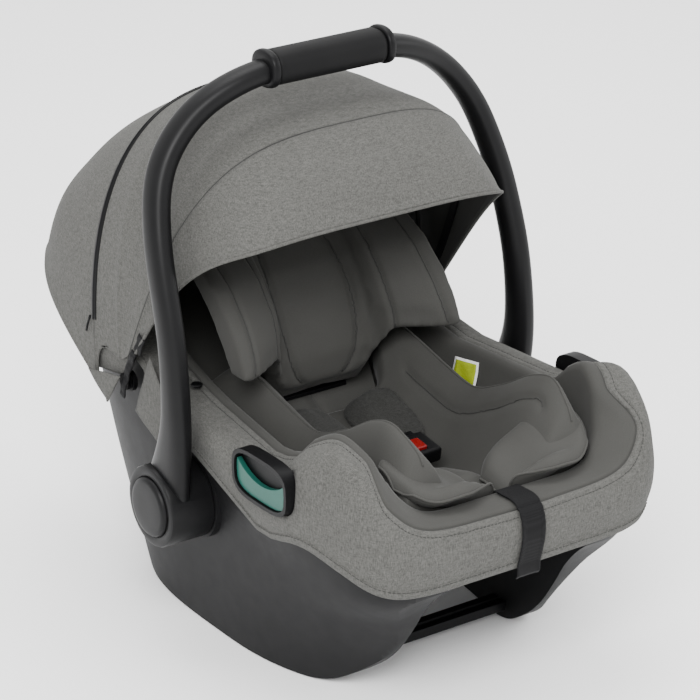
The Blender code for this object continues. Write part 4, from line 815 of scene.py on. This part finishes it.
def handle_line():
    """Centre line with half depth, from the left hub over the grip to the right hub."""
    span = curve_through(HANDLE_STATIONS, HANDLE_HALF_SPANS)
    bow = curve_through(HANDLE_STATIONS, HANDLE_BOWS)
    depth = curve_through(HANDLE_STATIONS, ARM_DEPTHS)
    arm = [(span(t), bow(t) + HUB_Y, HUB_Z + t * HANDLE_REACH, depth(t)) for t in np.linspace(0, 1, 400)]
    top = arm[-1]
    middle = [(x, top[1], top[2] + GRIP_RISE, top[3]) for x in np.linspace(-0.04, 0.04, 9)]
    rows = resample([(-x, y, z, d) for x, y, z, d in arm] + middle + arm[::-1], HANDLE_STEP)
    for _ in range(HANDLE_EASINGS):
        rows[1:-1] = rows[1:-1] * 0.5 + (rows[:-2] + rows[2:]) * 0.25
    return rows


def swept(name, path, look, grows=None, sides=40, power=2.4):
    """An oval bar along rows of (x, y, z, half depth); grows widens each row."""
    rings = []
    for i, row in enumerate(path):
        along = Vector(path[min(i + 1, len(path) - 1)][:3]) - Vector(path[max(i - 1, 0)][:3])
        along.normalize()
        fore = Vector((0, 1, 0))
        fore = (fore - along * fore.dot(along)).normalized()
        out = along.cross(fore)
        grow = grows[i] if grows is not None else 0.0
        ring = []
        for k in range(sides):
            turn = tau * k / sides
            a = signed_power(cos(turn), 2 / power) * (row[3] + grow)
            b = signed_power(sin(turn), 2 / power) * (ARM_HALF_THICKNESS + grow)
            ring.append(Vector(row[:3]) + fore * a + out * b)
        rings.append(ring)
    return closed_loft(name, rings, look)


def make_handle():
    path = handle_line()
    handle = swept("handle_moulding", path, HANDLE_PLASTIC)
    inner, outer, edge = HUB_INNER_X, HUB_OUTER_X, 0.0030
    rim = CAP_RADIUS + 0.0006
    profile = [(inner, 0.0), (inner, HUB_RADIUS - 0.001), (inner + 0.001, HUB_RADIUS),
               (outer - edge, HUB_RADIUS), (outer - edge * 0.3, HUB_RADIUS - edge * 0.3),
               (outer, HUB_RADIUS - edge), (outer, rim + 0.001), (outer - 0.0006, rim),
               (outer - 0.0024, rim), (outer - 0.0024, 0.0)]
    for side in (-1, 1):
        combine(handle, turned("drum", profile, side, HANDLE_PLASTIC), "UNION")
    round_edges(handle, width=0.0012, angle=40)
    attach(handle, "handle")
    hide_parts("handle")
    for side, word in SIDES:
        low, high = HUB_OUTER_X - 0.0022, HUB_OUTER_X + 0.0045
        dome = [(high - 0.0012 * (r / CAP_RADIUS) ** 4, r) for r in np.linspace(0, CAP_RADIUS - 0.0022, 9)]
        cap = turned(f"hub_cap_dome_{word}", [(low, 0.0), (low, CAP_RADIUS)] + [(high - 0.0042, CAP_RADIUS)]
                     + [(high - 0.0026, CAP_RADIUS - 0.0008)] + dome[::-1], side, HANDLE_PLASTIC)
        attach(cap, "handle")
        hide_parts(f"hub_cap_{word}")
    make_grip(path)


def make_grip(path):
    """Soft sleeve and its collars, close round the bar."""
    _, *middle = path[len(path) // 2]
    xs = np.linspace(-GRIP_HALF_LENGTH, GRIP_HALF_LENGTH, 41)
    rows = [(x, *middle) for x in xs]
    grows = [0.0052 - 0.0012 * max(0.0, (abs(x) / GRIP_HALF_LENGTH - 0.95) / 0.05) ** 2 for x in xs]
    sleeve = swept("grip_soft_sleeve", rows, SOFT_GRIP, grows)
    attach(sleeve, "handle")
    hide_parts("grip_sleeve")
    for side, word in SIDES:
        shares = (0.0, 0.03, 0.12, 0.3, 0.6, 0.85, 0.97, 1.0)
        grows = (0.0030, 0.0054, 0.0064, 0.0068, 0.0068, 0.0062, 0.0046, 0.0010)
        rows = [(side * (GRIP_HALF_LENGTH + 0.0004 + 0.0086 * t), *middle) for t in shares]
        collar = swept(f"grip_ring_{word}", rows, BLACK_PLASTIC, grows)
        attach(collar, "handle")
        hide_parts(f"grip_collar_{word}")


# ---------------------------------------------------------------- canopy
def canopy_point(angle, turn, lift=0.0):
    radius = canopy_radius_at(angle) + lift
    power = canopy_power_at(angle)
    x = (CANOPY_HALF_WIDTH + lift) * signed_power(sin(turn), 2 / power)
    reach = radius * abs(cos(turn)) ** (2 / power)
    return x, PIVOT_Y - reach * sin(radians(angle)), PIVOT_Z + reach * cos(radians(angle))


def skirt_angle(turn):
    """Where the lower edge of the rear panel crosses a line of the dome."""
    def is_below(angle):
        _, y, z = canopy_point(angle, turn)
        return z < min(SKIRT_START[1] + SKIRT_SLOPE * (y - SKIRT_START[0]), SKIRT_TOP)

    return halve(-118.0, -60.0, is_below)


def zip_angle(turn, y=ZIP_Y):
    """Where the zip's upright plane crosses a line of the dome."""
    return halve(-110.0, -4.0, lambda angle: canopy_point(angle, turn)[1] > y)


def hem_angle(turn):
    return HEM_ANGLE - HEM_SWEEP * sin(turn) ** 4


def canopy_sheet(name, start, end, columns, lift, node, rows=130):
    """One panel of the canopy: lift(angle, turn, share) raises it over the plain dome."""
    limit = pi / 2 - PANEL_END
    turns = limit * np.sin(np.linspace(-pi / 2, pi / 2, rows))

    def point(turn, share):
        angle = start(turn) + (end(turn) - start(turn)) * share
        return canopy_point(angle, turn, lift(angle, turn, share))

    grid = [[point(turn, share) for turn in turns] for share in np.linspace(0, 1, columns)]
    sheet = grid_object(name, grid, [MELANGE, LINING])
    merge_close(sheet, 1e-6)
    outward(sheet)
    modify(sheet, "SOLIDIFY", thickness=CANOPY_CLOTH, offset=-1.0, material_offset=1, material_offset_rim=0)
    apply_modifiers(sheet)
    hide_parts(node)
    return sheet, grid


def outward(sheet):
    """Turns the faces of a dome so that they look away from the seat."""
    mesh = sheet.data
    middle = Vector((0, 0.08, 0.30))
    total = sum((p.center - middle).dot(p.normal) * p.area for p in mesh.polygons)
    if total < 0:
        mesh.flip_normals()


def blend_along(sheet, a, b, angle, before, after):
    """Bakes a panel's placement into its points."""
    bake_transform(sheet)


def near_bow(angle, bow, width=2.2):
    return exp(-(((angle - bow) / width) ** 2))


def slack(angle, turn, low, high, depth):
    """The hollow that stretched cloth takes between two hoops."""
    share = min(max((angle - low) / (high - low), 0.0), 1.0)
    return -depth * sin(pi * share) ** 2 * cos(turn) ** 0.5


def ripple(angle, turn, size=0.0009):
    return size * noise.noise(Vector((turn * 2.2, angle * 0.05, 3.1))) * cos(turn)


def make_canopy():
    def rear_lift(angle, turn, share):
        edge = 0.0010 * exp(-((1 - share) / 0.03) ** 2) + 0.0014 * exp(-((share - 0.02) / 0.03) ** 2)
        return edge + ripple(angle, turn, 0.0016)

    def mid_lift(angle, turn, share):
        bow = 0.0012 * near_bow(angle, MID_BOW_ANGLE) + 0.0010 * near_bow(angle, FRONT_BOW_ANGLE, 1.2)
        seam = 0.0012 * exp(-(share / 0.03) ** 2)
        hollow = slack(angle, turn, MID_BOW_ANGLE + 3, FRONT_BOW_ANGLE - 2, 0.0026)
        return bow + seam + hollow + ripple(angle, turn)

    def visor_lift(angle, turn, share):
        edge = 0.0008 * exp(-((1 - share) / 0.05) ** 2)
        groove = -0.0008 * exp(-((share - 0.90) / 0.018) ** 2)
        return 0.0010 * near_bow(angle, FRONT_BOW_ANGLE, 1.2) + edge + groove + ripple(angle, turn, 0.0007)

    def zip_edge(gap):
        return lambda turn: max(zip_angle(turn, ZIP_Y + gap), skirt_angle(turn))

    rear, _ = canopy_sheet("canopy_rear_fabric", skirt_angle, zip_edge(ZIP_GAP), 34, rear_lift,
                           "canopy_rear_panel")
    blend_along(rear, "seat", "canopy_middle", REAR_BLEND_ANGLE, *REAR_BLEND)
    mid, _ = canopy_sheet("canopy_mid_fabric", zip_edge(-ZIP_GAP), lambda t: FRONT_BOW_ANGLE - SEAM_ANGLE, 40,
                          mid_lift, "canopy_mid_panel")
    blend_along(mid, "canopy_middle", "canopy_front", FRONT_BOW_ANGLE, *MID_BLEND)
    visor, grid = canopy_sheet("canopy_visor_fabric", lambda t: FRONT_BOW_ANGLE + SEAM_ANGLE, hem_angle, 26,
                               visor_lift, "canopy_visor")
    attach(visor, "canopy_front")
    binding = tube("canopy_hem_binding", grid[-1], 0.0017, MELANGE)
    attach(binding, "canopy_front")
    make_zip()
    make_bow_seam()
    make_skirt_trim()


SKIRT_CORNERS = ((0.152, 0.2760), (0.078, 0.2780), (0.0930, 0.2380), (0.1530, 0.2270))
TRIANGLE_CORNERS = ((0.1530, 0.2285), (0.1185, 0.2050), (0.0920, 0.2400))
COVER_FLAP_CORNERS = ((0.0560, 0.2700), (0.0900, 0.2020), (0.0410, 0.1800), (0.0060, 0.2060))
ELASTIC_LINE = ((0.0700, 0.2720), (0.0790, 0.2560), (0.0880, 0.2380), (0.0965, 0.2180))
TAG_CENTRE, TAG_TILT, TAG_SIZE = (0.0600, 0.2830), 28.0, (0.022, 0.011)


def make_skirt_trim():
    """At each pivot a small flap of cloth and a length of elastic, and a plain tag on the left."""
    for side, word in SIDES:
        skirt = side_patch(f"canopy_skirt_{word}", side, SKIRT_CORNERS, CANOPY_HALF_WIDTH - 0.0050, 0.0008)
        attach(skirt, "seat")
        a, b, c = TRIANGLE_CORNERS
        flap = side_patch(f"canopy_flap_{word}", side, (a, c, b, b), CANOPY_HALF_WIDTH + 0.0050, 0.0014)
        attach(flap, "seat")
        path = resample([(0, y, z) for y, z in ELASTIC_LINE], 0.003)
        rows = []
        for i, (_, y, z) in enumerate(path):
            lift = CANOPY_HALF_WIDTH + 0.0018 + 0.0008 * sin(i * 0.9) * (i > 1)
            rows.append([(side * lift, y + u * 0.0038, z + u * 0.0018) for u in np.linspace(-1, 1, 5)])
        strap = grid_object(f"canopy_elastic_{word}", rows, [WEBBING])
        thicken(strap, ELASTIC_THICKNESS, offset=0.0)
        apply_modifiers(strap)
        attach(strap, "canopy_front")
    down = Vector((0, sin(radians(TAG_TILT)), -cos(radians(TAG_TILT))))
    plate("canopy_tag", Vector((-CANOPY_HALF_WIDTH - 0.0016, *TAG_CENTRE)), Vector((-1, 0, 0)), down,
          TAG_SIZE, 0.0006, WEBBING, "canopy_front")


def side_patch(name, side, corners, distance, bulge):
    """A piece of cloth in a plane beside the seat, from four (y, z) corners taken in turn."""
    a, b, c, d = (Vector((0, *corner)) for corner in corners)

    def point(u, v):
        spot = a.lerp(b, u).lerp(d.lerp(c, u), v)
        out = distance + bulge * sin(pi * u) * sin(pi * v) + 0.0006 * sin(7 * u + 4 * v)
        return side * out, spot.y, spot.z

    rows = [[point(u, v) for v in np.linspace(0, 0.999, 16)] for u in np.linspace(0, 1, 16)]
    patch = grid_object(name, rows, [MELANGE])
    thicken(patch, TRIM_CLOTH, offset=0.0)
    apply_modifiers(patch)
    return patch


def make_cover_flaps():
    """Behind each arm of the handle the cover hangs lower, over the side of the shell."""
    for side, word in SIDES:
        patch = side_patch(f"cover_flap_{word}", side, COVER_FLAP_CORNERS, 0.0, 0.0)
        for vertex in patch.data.vertices:
            wall = flank_x(vertex.co.y, vertex.co.z)
            vertex.co.x = side * (wall + 0.0016 + abs(vertex.co.x))
        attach(patch, "seat")


def flank_x(y, z):
    """Half width of the cover's outside at a height, on the side of the seat."""
    offset = COVER_THICKNESS + REAR_STANDOFF
    angle = halve(0.02, pi - 0.02, lambda a: outline(a, z, offset)[1] < y, 40)
    return abs(outline(angle, z, offset)[0])


def plate(name, centre, normal, along, size, thickness, look, body):
    """A thin sewn-on label lying on a surface."""
    normal = normal.normalized()
    along = (along - normal * along.dot(normal)).normalized()
    across = normal.cross(along)

    def point(u, v):
        curl = normal * (0.0006 * sin(9 * u + 5 * v))
        return centre + along * (u * size[0]) + across * (v * size[1]) + curl

    rows = [[point(u, v) for v in np.linspace(-0.5, 0.5, 7)] for u in np.linspace(-0.5, 0.5, 9)]
    label = grid_object(name, rows, [look])
    thicken(label, thickness, offset=0.0)
    apply_modifiers(label)
    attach(label, body)


LABEL_Y, LABEL_Z, LABEL_SIZE = -0.046, 0.2150, (0.033, 0.026)


def make_label(cover):
    """Plain two-tone label on the inner wall of the right flank."""
    spot, normal, *_ = tree_of(cover).ray_cast(Vector((0.04, LABEL_Y, LABEL_Z)), Vector((1, 0, 0)))
    normal = normal if normal.x < 0 else -normal
    along = Vector((0.1, -1, 0.1))
    plate("side_label", spot + normal * 0.0022, normal, along, LABEL_SIZE, 0.0008, WHITE_TAPE, "seat")
    inner = (LABEL_SIZE[0] - 0.005, LABEL_SIZE[1] - 0.005)
    plate("side_label_face", spot + normal * 0.0030, normal, along, inner, 0.0007, LIME, "seat")


def make_bow_seam():
    """The seam over the front hoop: a fine welt."""
    limit = pi / 2 - PANEL_END
    path = [canopy_point(FRONT_BOW_ANGLE, limit * sin(t), 0.0006) for t in np.linspace(-pi / 2, pi / 2, 110)]
    welt = tube("canopy_bow_seam", path, 0.0007, THREAD)
    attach(welt, "canopy_front")


# Across the zip: distance from its middle and height over the cloth; along its pull: distance back and up.
ZIP_SECTION = ((-0.0044, 0.0006), (-0.0036, 0.0014), (-0.0012, 0.0016), (-0.0008, 0.0023), (0.0008, 0.0023),
               (0.0012, 0.0016), (0.0036, 0.0014), (0.0044, 0.0006))
ZIP_PULL = ((0, 0.004), (0.002, 0.0), (0.005, -0.005), (0.007, -0.010), (0.0085, -0.014))


def make_zip():
    """Zip over the dome in an upright plane: tape with its raised coil, and a pull at each end."""
    turns = np.linspace(-pi / 2 + 0.095, pi / 2 - 0.095, 150)
    rows = [[canopy_point(zip_angle(t, ZIP_Y + y), t, lift) for t in turns] for y, lift in ZIP_SECTION]
    tape = grid_object("canopy_zip_tape", rows, [BLACK_PLASTIC])
    outward(tape)
    thicken(tape, 0.0008)
    apply_modifiers(tape)
    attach(tape, "canopy_middle")
    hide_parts("canopy_zip")
    for side, word in SIDES:
        foot = Vector(canopy_point(zip_angle(side * turns[-1]), side * turns[-1], 0.003))
        path = [foot + Vector((side * 0.0015, y, z)) for y, z in ZIP_PULL]
        pull = tube(f"zip_pull_{word}", path, 0.0013, BLACK_PLASTIC)
        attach(pull, "canopy_middle")


# ---------------------------------------------------------------- pads
def soften(name, node, look, voxel, cap, pressure=4.0, smooth=6):
    """A stuffed piece from a plain solid: remeshed, eased and blown up a little as cloth."""
    piece = new_object(name, NODES[node].data.copy())
    piece.data.materials.clear()
    piece.data.materials.append(look)
    merge_close(piece)
    modify(piece, "REMESH", mode="VOXEL", voxel_size=voxel)
    modify(piece, "SMOOTH", factor=0.5, iterations=smooth)
    apply_modifiers(piece)
    piece.data.materials.clear()
    piece.data.materials.append(look)
    inflate(piece, pressure, cap)
    modify(piece, "SUBSURF", levels=1, render_levels=1)
    apply_modifiers(piece)
    return piece


CLOTH = {"quality": 5, "mass": 0.25, "tension_stiffness": 20, "compression_stiffness": 20,
         "bending_stiffness": 1.5, "use_pressure": True}
CLOTH_FRAMES = 20


def inflate(piece, pressure, cap):
    """Blows a piece up as cloth; no point moves further than the cap."""
    before = np.array([v.co for v in piece.data.vertices])
    cloth = modify(piece, "CLOTH")
    for key, value in CLOTH.items():
        setattr(cloth.settings, key, value)
    cloth.settings.uniform_pressure_force = pressure
    cloth.settings.effector_weights.gravity = 0.0
    cloth.point_cache.frame_start, cloth.point_cache.frame_end = 1, CLOTH_FRAMES
    for step in range(1, CLOTH_FRAMES + 1):
        bpy.context.scene.frame_set(step)
    graph = bpy.context.evaluated_depsgraph_get()
    swollen = np.array([v.co for v in piece.evaluated_get(graph).data.vertices])
    piece.modifiers.clear()
    move = swollen - before
    length = np.linalg.norm(move, axis=1, keepdims=True)
    move *= np.minimum(1.0, cap / np.maximum(length, 1e-9))
    piece.data.vertices.foreach_set("co", (before + move).ravel())
    piece.data.update()
    bpy.context.scene.frame_set(1)


def press_seam(piece, path, depth, half_width):
    """Draws a groove into a padded piece along a line near it, and returns the line on its surface."""
    tree = tree_of(piece)
    fine = even_steps(path, 0.0015)
    landed = np.array([tree.find_nearest(Vector(p))[0] for p in fine])
    mesh = piece.data
    points = np.array([v.co for v in mesh.vertices])
    normals = np.array([v.normal for v in mesh.vertices])
    nearest = np.full(len(points), 1.0)
    for spot in landed:
        nearest = np.minimum(nearest, np.linalg.norm(points - spot, axis=1))
    points -= normals * (depth * np.exp(-(nearest / half_width) ** 2))[:, None]
    mesh.vertices.foreach_set("co", points.ravel())
    mesh.update()
    tree = tree_of(piece)
    return np.array([tree.find_nearest(Vector(p))[0] for p in landed])


def sew(piece, name, path, body, depth=0.0022, half_width=0.0035, radius=0.0006, look=None):
    """A seam pressed into a padded piece, with its welt."""
    line = press_seam(piece, path, depth, half_width)
    welt = tube(name, line, radius, look or THREAD)
    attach(welt, body)


HEADREST_ROWS = 7
FACE_MIDDLE_Y = (0.014, 0.016, 0.023, 0.036, 0.055, 0.080, 0.104)
FACE_MIDDLE_Z = (0.216, 0.238, 0.265, 0.295, 0.322, 0.346, 0.362)
FACE_INNER_Y = (-0.010, -0.008, -0.003, 0.007, 0.032, 0.062, 0.094)
FACE_INNER_Z = (0.262, 0.270, 0.284, 0.302, 0.332, 0.354, 0.368)
FACE_OUTER_Y = (-0.050, -0.046, -0.038, -0.024, 0.006, 0.042, 0.084)
FACE_OUTER_Z = (0.262, 0.276, 0.292, 0.310, 0.338, 0.357, 0.368)


def headrest_line(x, lower=0.0, upper=6.0, table="middle", steps=24):
    """Points up the face of the headrest at a distance from its middle line."""
    tables = {"middle": (FACE_MIDDLE_Y, FACE_MIDDLE_Z), "inner": (FACE_INNER_Y, FACE_INNER_Z),
              "outer": (FACE_OUTER_Y, FACE_OUTER_Z)}
    ys, zs = (curve_through(range(HEADREST_ROWS), values) for values in tables[table])
    place = x if callable(x) else lambda row: x
    return [(place(row), ys(row), zs(row)) for row in np.linspace(lower, upper, steps)]


def oval_half_width(row):
    """Half width of the oval seam in the middle of the headrest."""
    return 0.040 * sin(pi * min(max((row + 0.6) / 7.4, 0), 1)) ** 0.5 + 0.004


def make_headrest():
    pad = soften("headrest_cushion", "headrest_pad", KNIT, voxel=0.0042, cap=0.0035, pressure=3.0, smooth=5)
    for side, word in SIDES:
        oval = headrest_line(lambda row: side * oval_half_width(row))
        sew(pad, f"headrest_seam_middle_{word}", oval, "headrest", depth=0.0026)
        inner = headrest_line(side * 0.066, 0.2, 5.8, "inner")
        sew(pad, f"headrest_seam_wing_{word}", inner, "headrest")
        outer = headrest_line(side * 0.104, 0.2, 5.8, "outer")
        sew(pad, f"headrest_seam_edge_{word}", outer, "headrest", depth=0.0018)
    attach(pad, "headrest")
    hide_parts("headrest_pad")


def make_harness_pads():
    for side, word in SIDES:
        pad = soften(f"shoulder_sleeve_{word}", f"shoulder_pad_{word}", DARK_MELANGE, voxel=0.0028,
                     cap=0.0020, smooth=3)
        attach(pad, "seat")
        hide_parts(f"shoulder_pad_{word}")
    pad = soften("crotch_cushion", "crotch_pad", KNIT, voxel=0.0028, cap=0.0020, smooth=3)
    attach(pad, "seat")
    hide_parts("crotch_pad")


# ---------------------------------------------------------------- infant insert
INSERT_ROWS, INSERT_COLUMNS = 96, 101
insert_crest_at = curve_through(INSERT_STATIONS, INSERT_CRESTS)


def narrowed(y, share):
    """The insert's width as a part of the full one: its foot end draws in by the share."""
    return 1 - share * smooth_step(-y, 0.21, 0.265)


def insert_crest_x(side, y):
    """Distance of a bolster's crest from the middle; the loose insert sits a little to the right."""
    at_side = INSERT_CREST_LEFT if side < 0 else INSERT_CREST_RIGHT
    return at_side * narrowed(y, 0.08)


def insert_height(x, y, ground, centre):
    """Height of the insert over a point of the seat: a soft floor and a rounded bolster on each side."""
    floor = centre + INSERT_FILL * (1 - smooth_step(y, -0.04, INSERT_REAR_Y) * 0.55)
    crest_x = insert_crest_x(x, y)
    share = abs(x) / crest_x
    crest = insert_crest_at(y)
    if share <= 1:
        high = floor + (crest - floor) * smooth_step(share, 0.28, 1.05)
    else:
        slope = min((abs(x) - crest_x) / (INSERT_EDGE_X - crest_x), 1.0)
        high = crest + (ground + 0.004 - crest) * slope ** 2.2
    return max(high, ground + 0.003)


FLAP_STATIONS = (0.010, 0.030, 0.052, 0.075, 0.096, 0.108)
FLAP_BACKS = (-0.222, -0.204, -0.196, -0.200, -0.212, -0.230)
FLAP_FRONTS = (-0.268, -0.277, -0.286, -0.282, -0.270, -0.252)
FLAP_LEVELS = (0.190, 0.198, 0.208, 0.219, 0.231, 0.238)
FLAP_FILL, FLAP_OVERHANG = 0.0125, 0.008


def make_insert_flap(tree, side, word):
    """Front flap of the insert: a flat pillow that leans over the lip, with piping along its free edge."""
    back_at, front_at, level_at = (curve_through(FLAP_STATIONS, values)
                                   for values in (FLAP_BACKS, FLAP_FRONTS, FLAP_LEVELS))
    upper, lower = [], []
    for u in np.linspace(0, 1, 41):
        across = FLAP_STATIONS[0] + (FLAP_STATIONS[-1] - FLAP_STATIONS[0]) * u
        rows = ([], [])
        for v in np.linspace(0, 1, 25):
            y = back_at(across) + (front_at(across) - back_at(across)) * v
            hit = tree.ray_cast(Vector((side * across, y, 1.0)), Vector((0, 0, -1)))[0]
            z = max(level_at(across) - 0.016 * v * v, hit.z + 0.003)
            full = max(1 - (2 * u - 1) ** 4, 0.0) * max(1 - (2 * v - 1) ** 4, 0.0)
            fill = FLAP_FILL * full ** 0.4 + 0.0012
            wave_lift = 0.0015 * sin(11 * u + 3 * v)
            rows[0].append((side * across, y, z + FLAP_OVERHANG + wave_lift + fill))
            rows[1].append((side * across, y, z + FLAP_OVERHANG + wave_lift - fill * 0.5))
        upper.append(rows[0])
        lower.append(rows[1][::-1])
    upper, lower = np.array(upper), np.array(lower)
    for grid in (upper, lower):
        ease(grid, 4)
    ring = np.concatenate([upper, lower], axis=1)
    flap = grid_object(f"insert_flap_{word}", ring, [KNIT], wrap=True)
    close_ends(flap, ring.shape[0], ring.shape[1])
    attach(flap, "seat")
    edge = [tuple(point) for row in (upper[0], upper[:, -1], upper[-1][::-1]) for point in row]
    piping = tube(f"insert_flap_piping_{word}", edge, 0.0012, KNIT)
    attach(piping, "seat")


def make_insert(cover):
    tree = tree_of(cover)

    def ground_at(x, y):
        return tree.ray_cast(Vector((x, y, 1.0)), Vector((0, 0, -1)))[0].z

    top, under = [], []
    for t in np.linspace(0, 1, INSERT_ROWS):
        over_row, under_row = [], []
        for v in np.linspace(-1, 1, INSERT_COLUMNS):
            v = v * (1.25 - 0.25 * v * v)
            x = max(min(v, 1.0), -1.0) * INSERT_EDGE_X
            front = INSERT_FRONT_Y + (INSERT_STATIONS[0] - INSERT_FRONT_Y) * smooth_step(abs(x), 0.034, 0.070)
            rear = INSERT_REAR_Y + (INSERT_STATIONS[-1] - INSERT_REAR_Y) * smooth_step(abs(x), 0.058, 0.090)
            y = front + (rear - front) * t
            x *= narrowed(y, 0.12)
            ground = ground_at(x, y)
            z = insert_height(x, y, ground + INSERT_GAP, ground_at(0, y) + INSERT_GAP)
            edge = min(t, 1 - t) * 2
            z = ground + INSERT_GAP + (z - ground - INSERT_GAP) * min(1.0, 0.42 + edge / 0.10) ** 0.5
            over_row.append((x, y, z))
            under_row.append((x, y, ground + 0.0006))
        top.append(over_row)
        under.append(under_row)
    top, under = np.array(top), np.array(under)
    ease(top, 3)
    ring = np.concatenate([top, under[:, ::-1]], axis=1)
    insert = grid_object("infant_insert_cushion", ring, [KNIT], wrap=True)
    close_ends(insert, ring.shape[0], ring.shape[1])
    merge_close(insert)
    for side, word in SIDES:
        crest = []
        for y in np.linspace(INSERT_STATIONS[0] + 0.006, INSERT_STATIONS[-1] - 0.006, 60):
            crest.append((side * insert_crest_x(side, y), y, insert_crest_at(y)))
        sew(insert, f"insert_piping_{word}", crest, "seat", depth=-0.0006, half_width=0.004, radius=0.0011,
            look=KNIT)
        inner = [(side * 0.052 * (1 - 0.1 * smooth_step(-y, 0.21, 0.25)), y, insert_crest_at(y))
                 for y in np.linspace(-0.225, -0.02, 40)]
        sew(insert, f"insert_seam_{word}", inner, "seat", depth=0.0024, half_width=0.0045)
        make_insert_flap(tree, side, word)
    insert.data.shade_smooth()
    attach(insert, "seat")
    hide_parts("infant_insert")


def ease(grid, rounds):
    """Smooths a grid of points, edges excepted."""
    for _ in range(rounds):
        around = grid[:-2, 1:-1] + grid[2:, 1:-1] + grid[1:-1, :-2] + grid[1:-1, 2:]
        grid[1:-1, 1:-1] = (grid[1:-1, 1:-1] * 2 + around) / 6


def close_ends(obj, rows, columns):
    """Fills the two open ends of a wrapped grid, pairing points across it."""
    faces = []
    for base in (0, (rows - 1) * columns):
        for i in range(columns // 2 - 1):
            a, b = base + i, base + i + 1
            c, d = base + columns - 2 - i, base + columns - 1 - i
            if c > b:
                faces.append((a, b, c, d))
    add_faces(obj, faces)
    obj.data.shade_smooth()


# ---------------------------------------------------------------- lip strap
LIP_MIDDLE, STRAP_TURNS = (0, -0.262, 0.176), (72, -26)


def make_lip_strap(cover):
    """Adjuster strap from its housing over the padded lip and round behind the hem."""
    tree = tree_of(cover)
    low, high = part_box("adjuster_strap")
    half = (high.x - low.x) / 2
    middle = Vector(LIP_MIDDLE)
    path = []
    for turn in np.linspace(radians(STRAP_TURNS[0]), radians(STRAP_TURNS[1]), 44):
        ray = Vector((0, -cos(turn), sin(turn)))
        hit = tree.ray_cast(middle + ray * 0.2, -ray)[0]
        path.append((hit.y + ray.y * 0.0012, hit.z + ray.z * 0.0012, ray.y, ray.z))
    last = path[-1]
    path.append((last[0] + 0.0004, HEM_HEIGHTS[0] - 0.0005, -0.95, -0.3))
    path.append((last[0] + 0.0025, HEM_HEIGHTS[0] - 0.0030, -0.5, -0.85))

    def point(u, y, z, ny, nz):
        lift = 0.0014 + 0.0004 * (abs(u) > 0.8)
        return u * half, y + ny * lift, z + nz * lift

    rows = [[point(u, *place) for u in np.linspace(-1, 1, 13)] for place in path]
    strap = grid_object("lip_strap", rows, [WEBBING], flip=True)
    thicken(strap, STRAP_THICKNESS, offset=0.0)
    modify(strap, "BEVEL", width=0.0004)
    apply_modifiers(strap)
    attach(strap, "seat")
    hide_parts("adjuster_strap")


# ---------------------------------------------------------------- stage
def make_stage():
    bpy.ops.mesh.primitive_plane_add(size=40, location=(0, 0, -0.0003))
    floor = bpy.context.object
    floor.name = "floor"
    look = Graph("floor_paper")
    tone = look.ramp(look.noise(3.0), ((0.0, (0.93, 0.93, 0.93)), (1.0, (0.95, 0.95, 0.95))))
    look.set(Base_Color=tone, Roughness=0.9, Specular_IOR_Level=0.1)
    floor.data.materials.append(look.material)
    world = bpy.data.worlds.new("studio")
    bpy.context.scene.world = world
    world.use_nodes = True
    sky = world.node_tree.nodes["Background"]
    sky.inputs["Color"].default_value = (1, 1, 1, 1)
    sky.inputs["Strength"].default_value = 1.75
    area_light("key", (-1.9, -2.2, 2.6), size=1.8, power=170)
    area_light("fill", (2.6, -1.6, 1.7), size=2.2, power=45)
    area_light("top", (0.2, 0.8, 3.2), size=2.4, power=75)


def area_light(name, place, size, power):
    data = bpy.data.lights.new(name, "AREA")
    data.shape = "DISK"
    data.size = size
    data.energy = power
    light = new_object(name, data)
    light.location = place
    aim = Vector((0, 0, 0.25)) - light.location
    light.rotation_mode = "QUATERNION"
    light.rotation_quaternion = aim.to_track_quat("-Z", "Y")


def make_camera():
    data = bpy.data.cameras.new("camera")
    data.lens = CAMERA_LENS
    data.sensor_width = 36.0
    data.sensor_fit = "HORIZONTAL"
    camera = new_object("camera", data)
    azimuth, rise = CAMERA_AZIMUTH, CAMERA_ELEVATION
    back = Vector((sin(azimuth) * cos(rise), -cos(azimuth) * cos(rise), sin(rise)))
    camera.location = Vector(CAMERA_TARGET) + back * CAMERA_DISTANCE
    aim = (-back).to_track_quat("-Z", "Y").to_matrix().to_4x4()
    turn = Matrix.Rotation(CAMERA_ROLL, 4, back)
    camera.matrix_world = Matrix.Translation(camera.location) @ turn @ aim
    bpy.context.scene.camera = camera


dress_frame()
make_stage()
make_camera()
COVER = make_cover()
make_shell()
make_handle()
make_insert(COVER)
make_label(COVER)
make_cover_flaps()
make_headrest()
make_harness_pads()
make_canopy()
make_lip_strap(COVER)
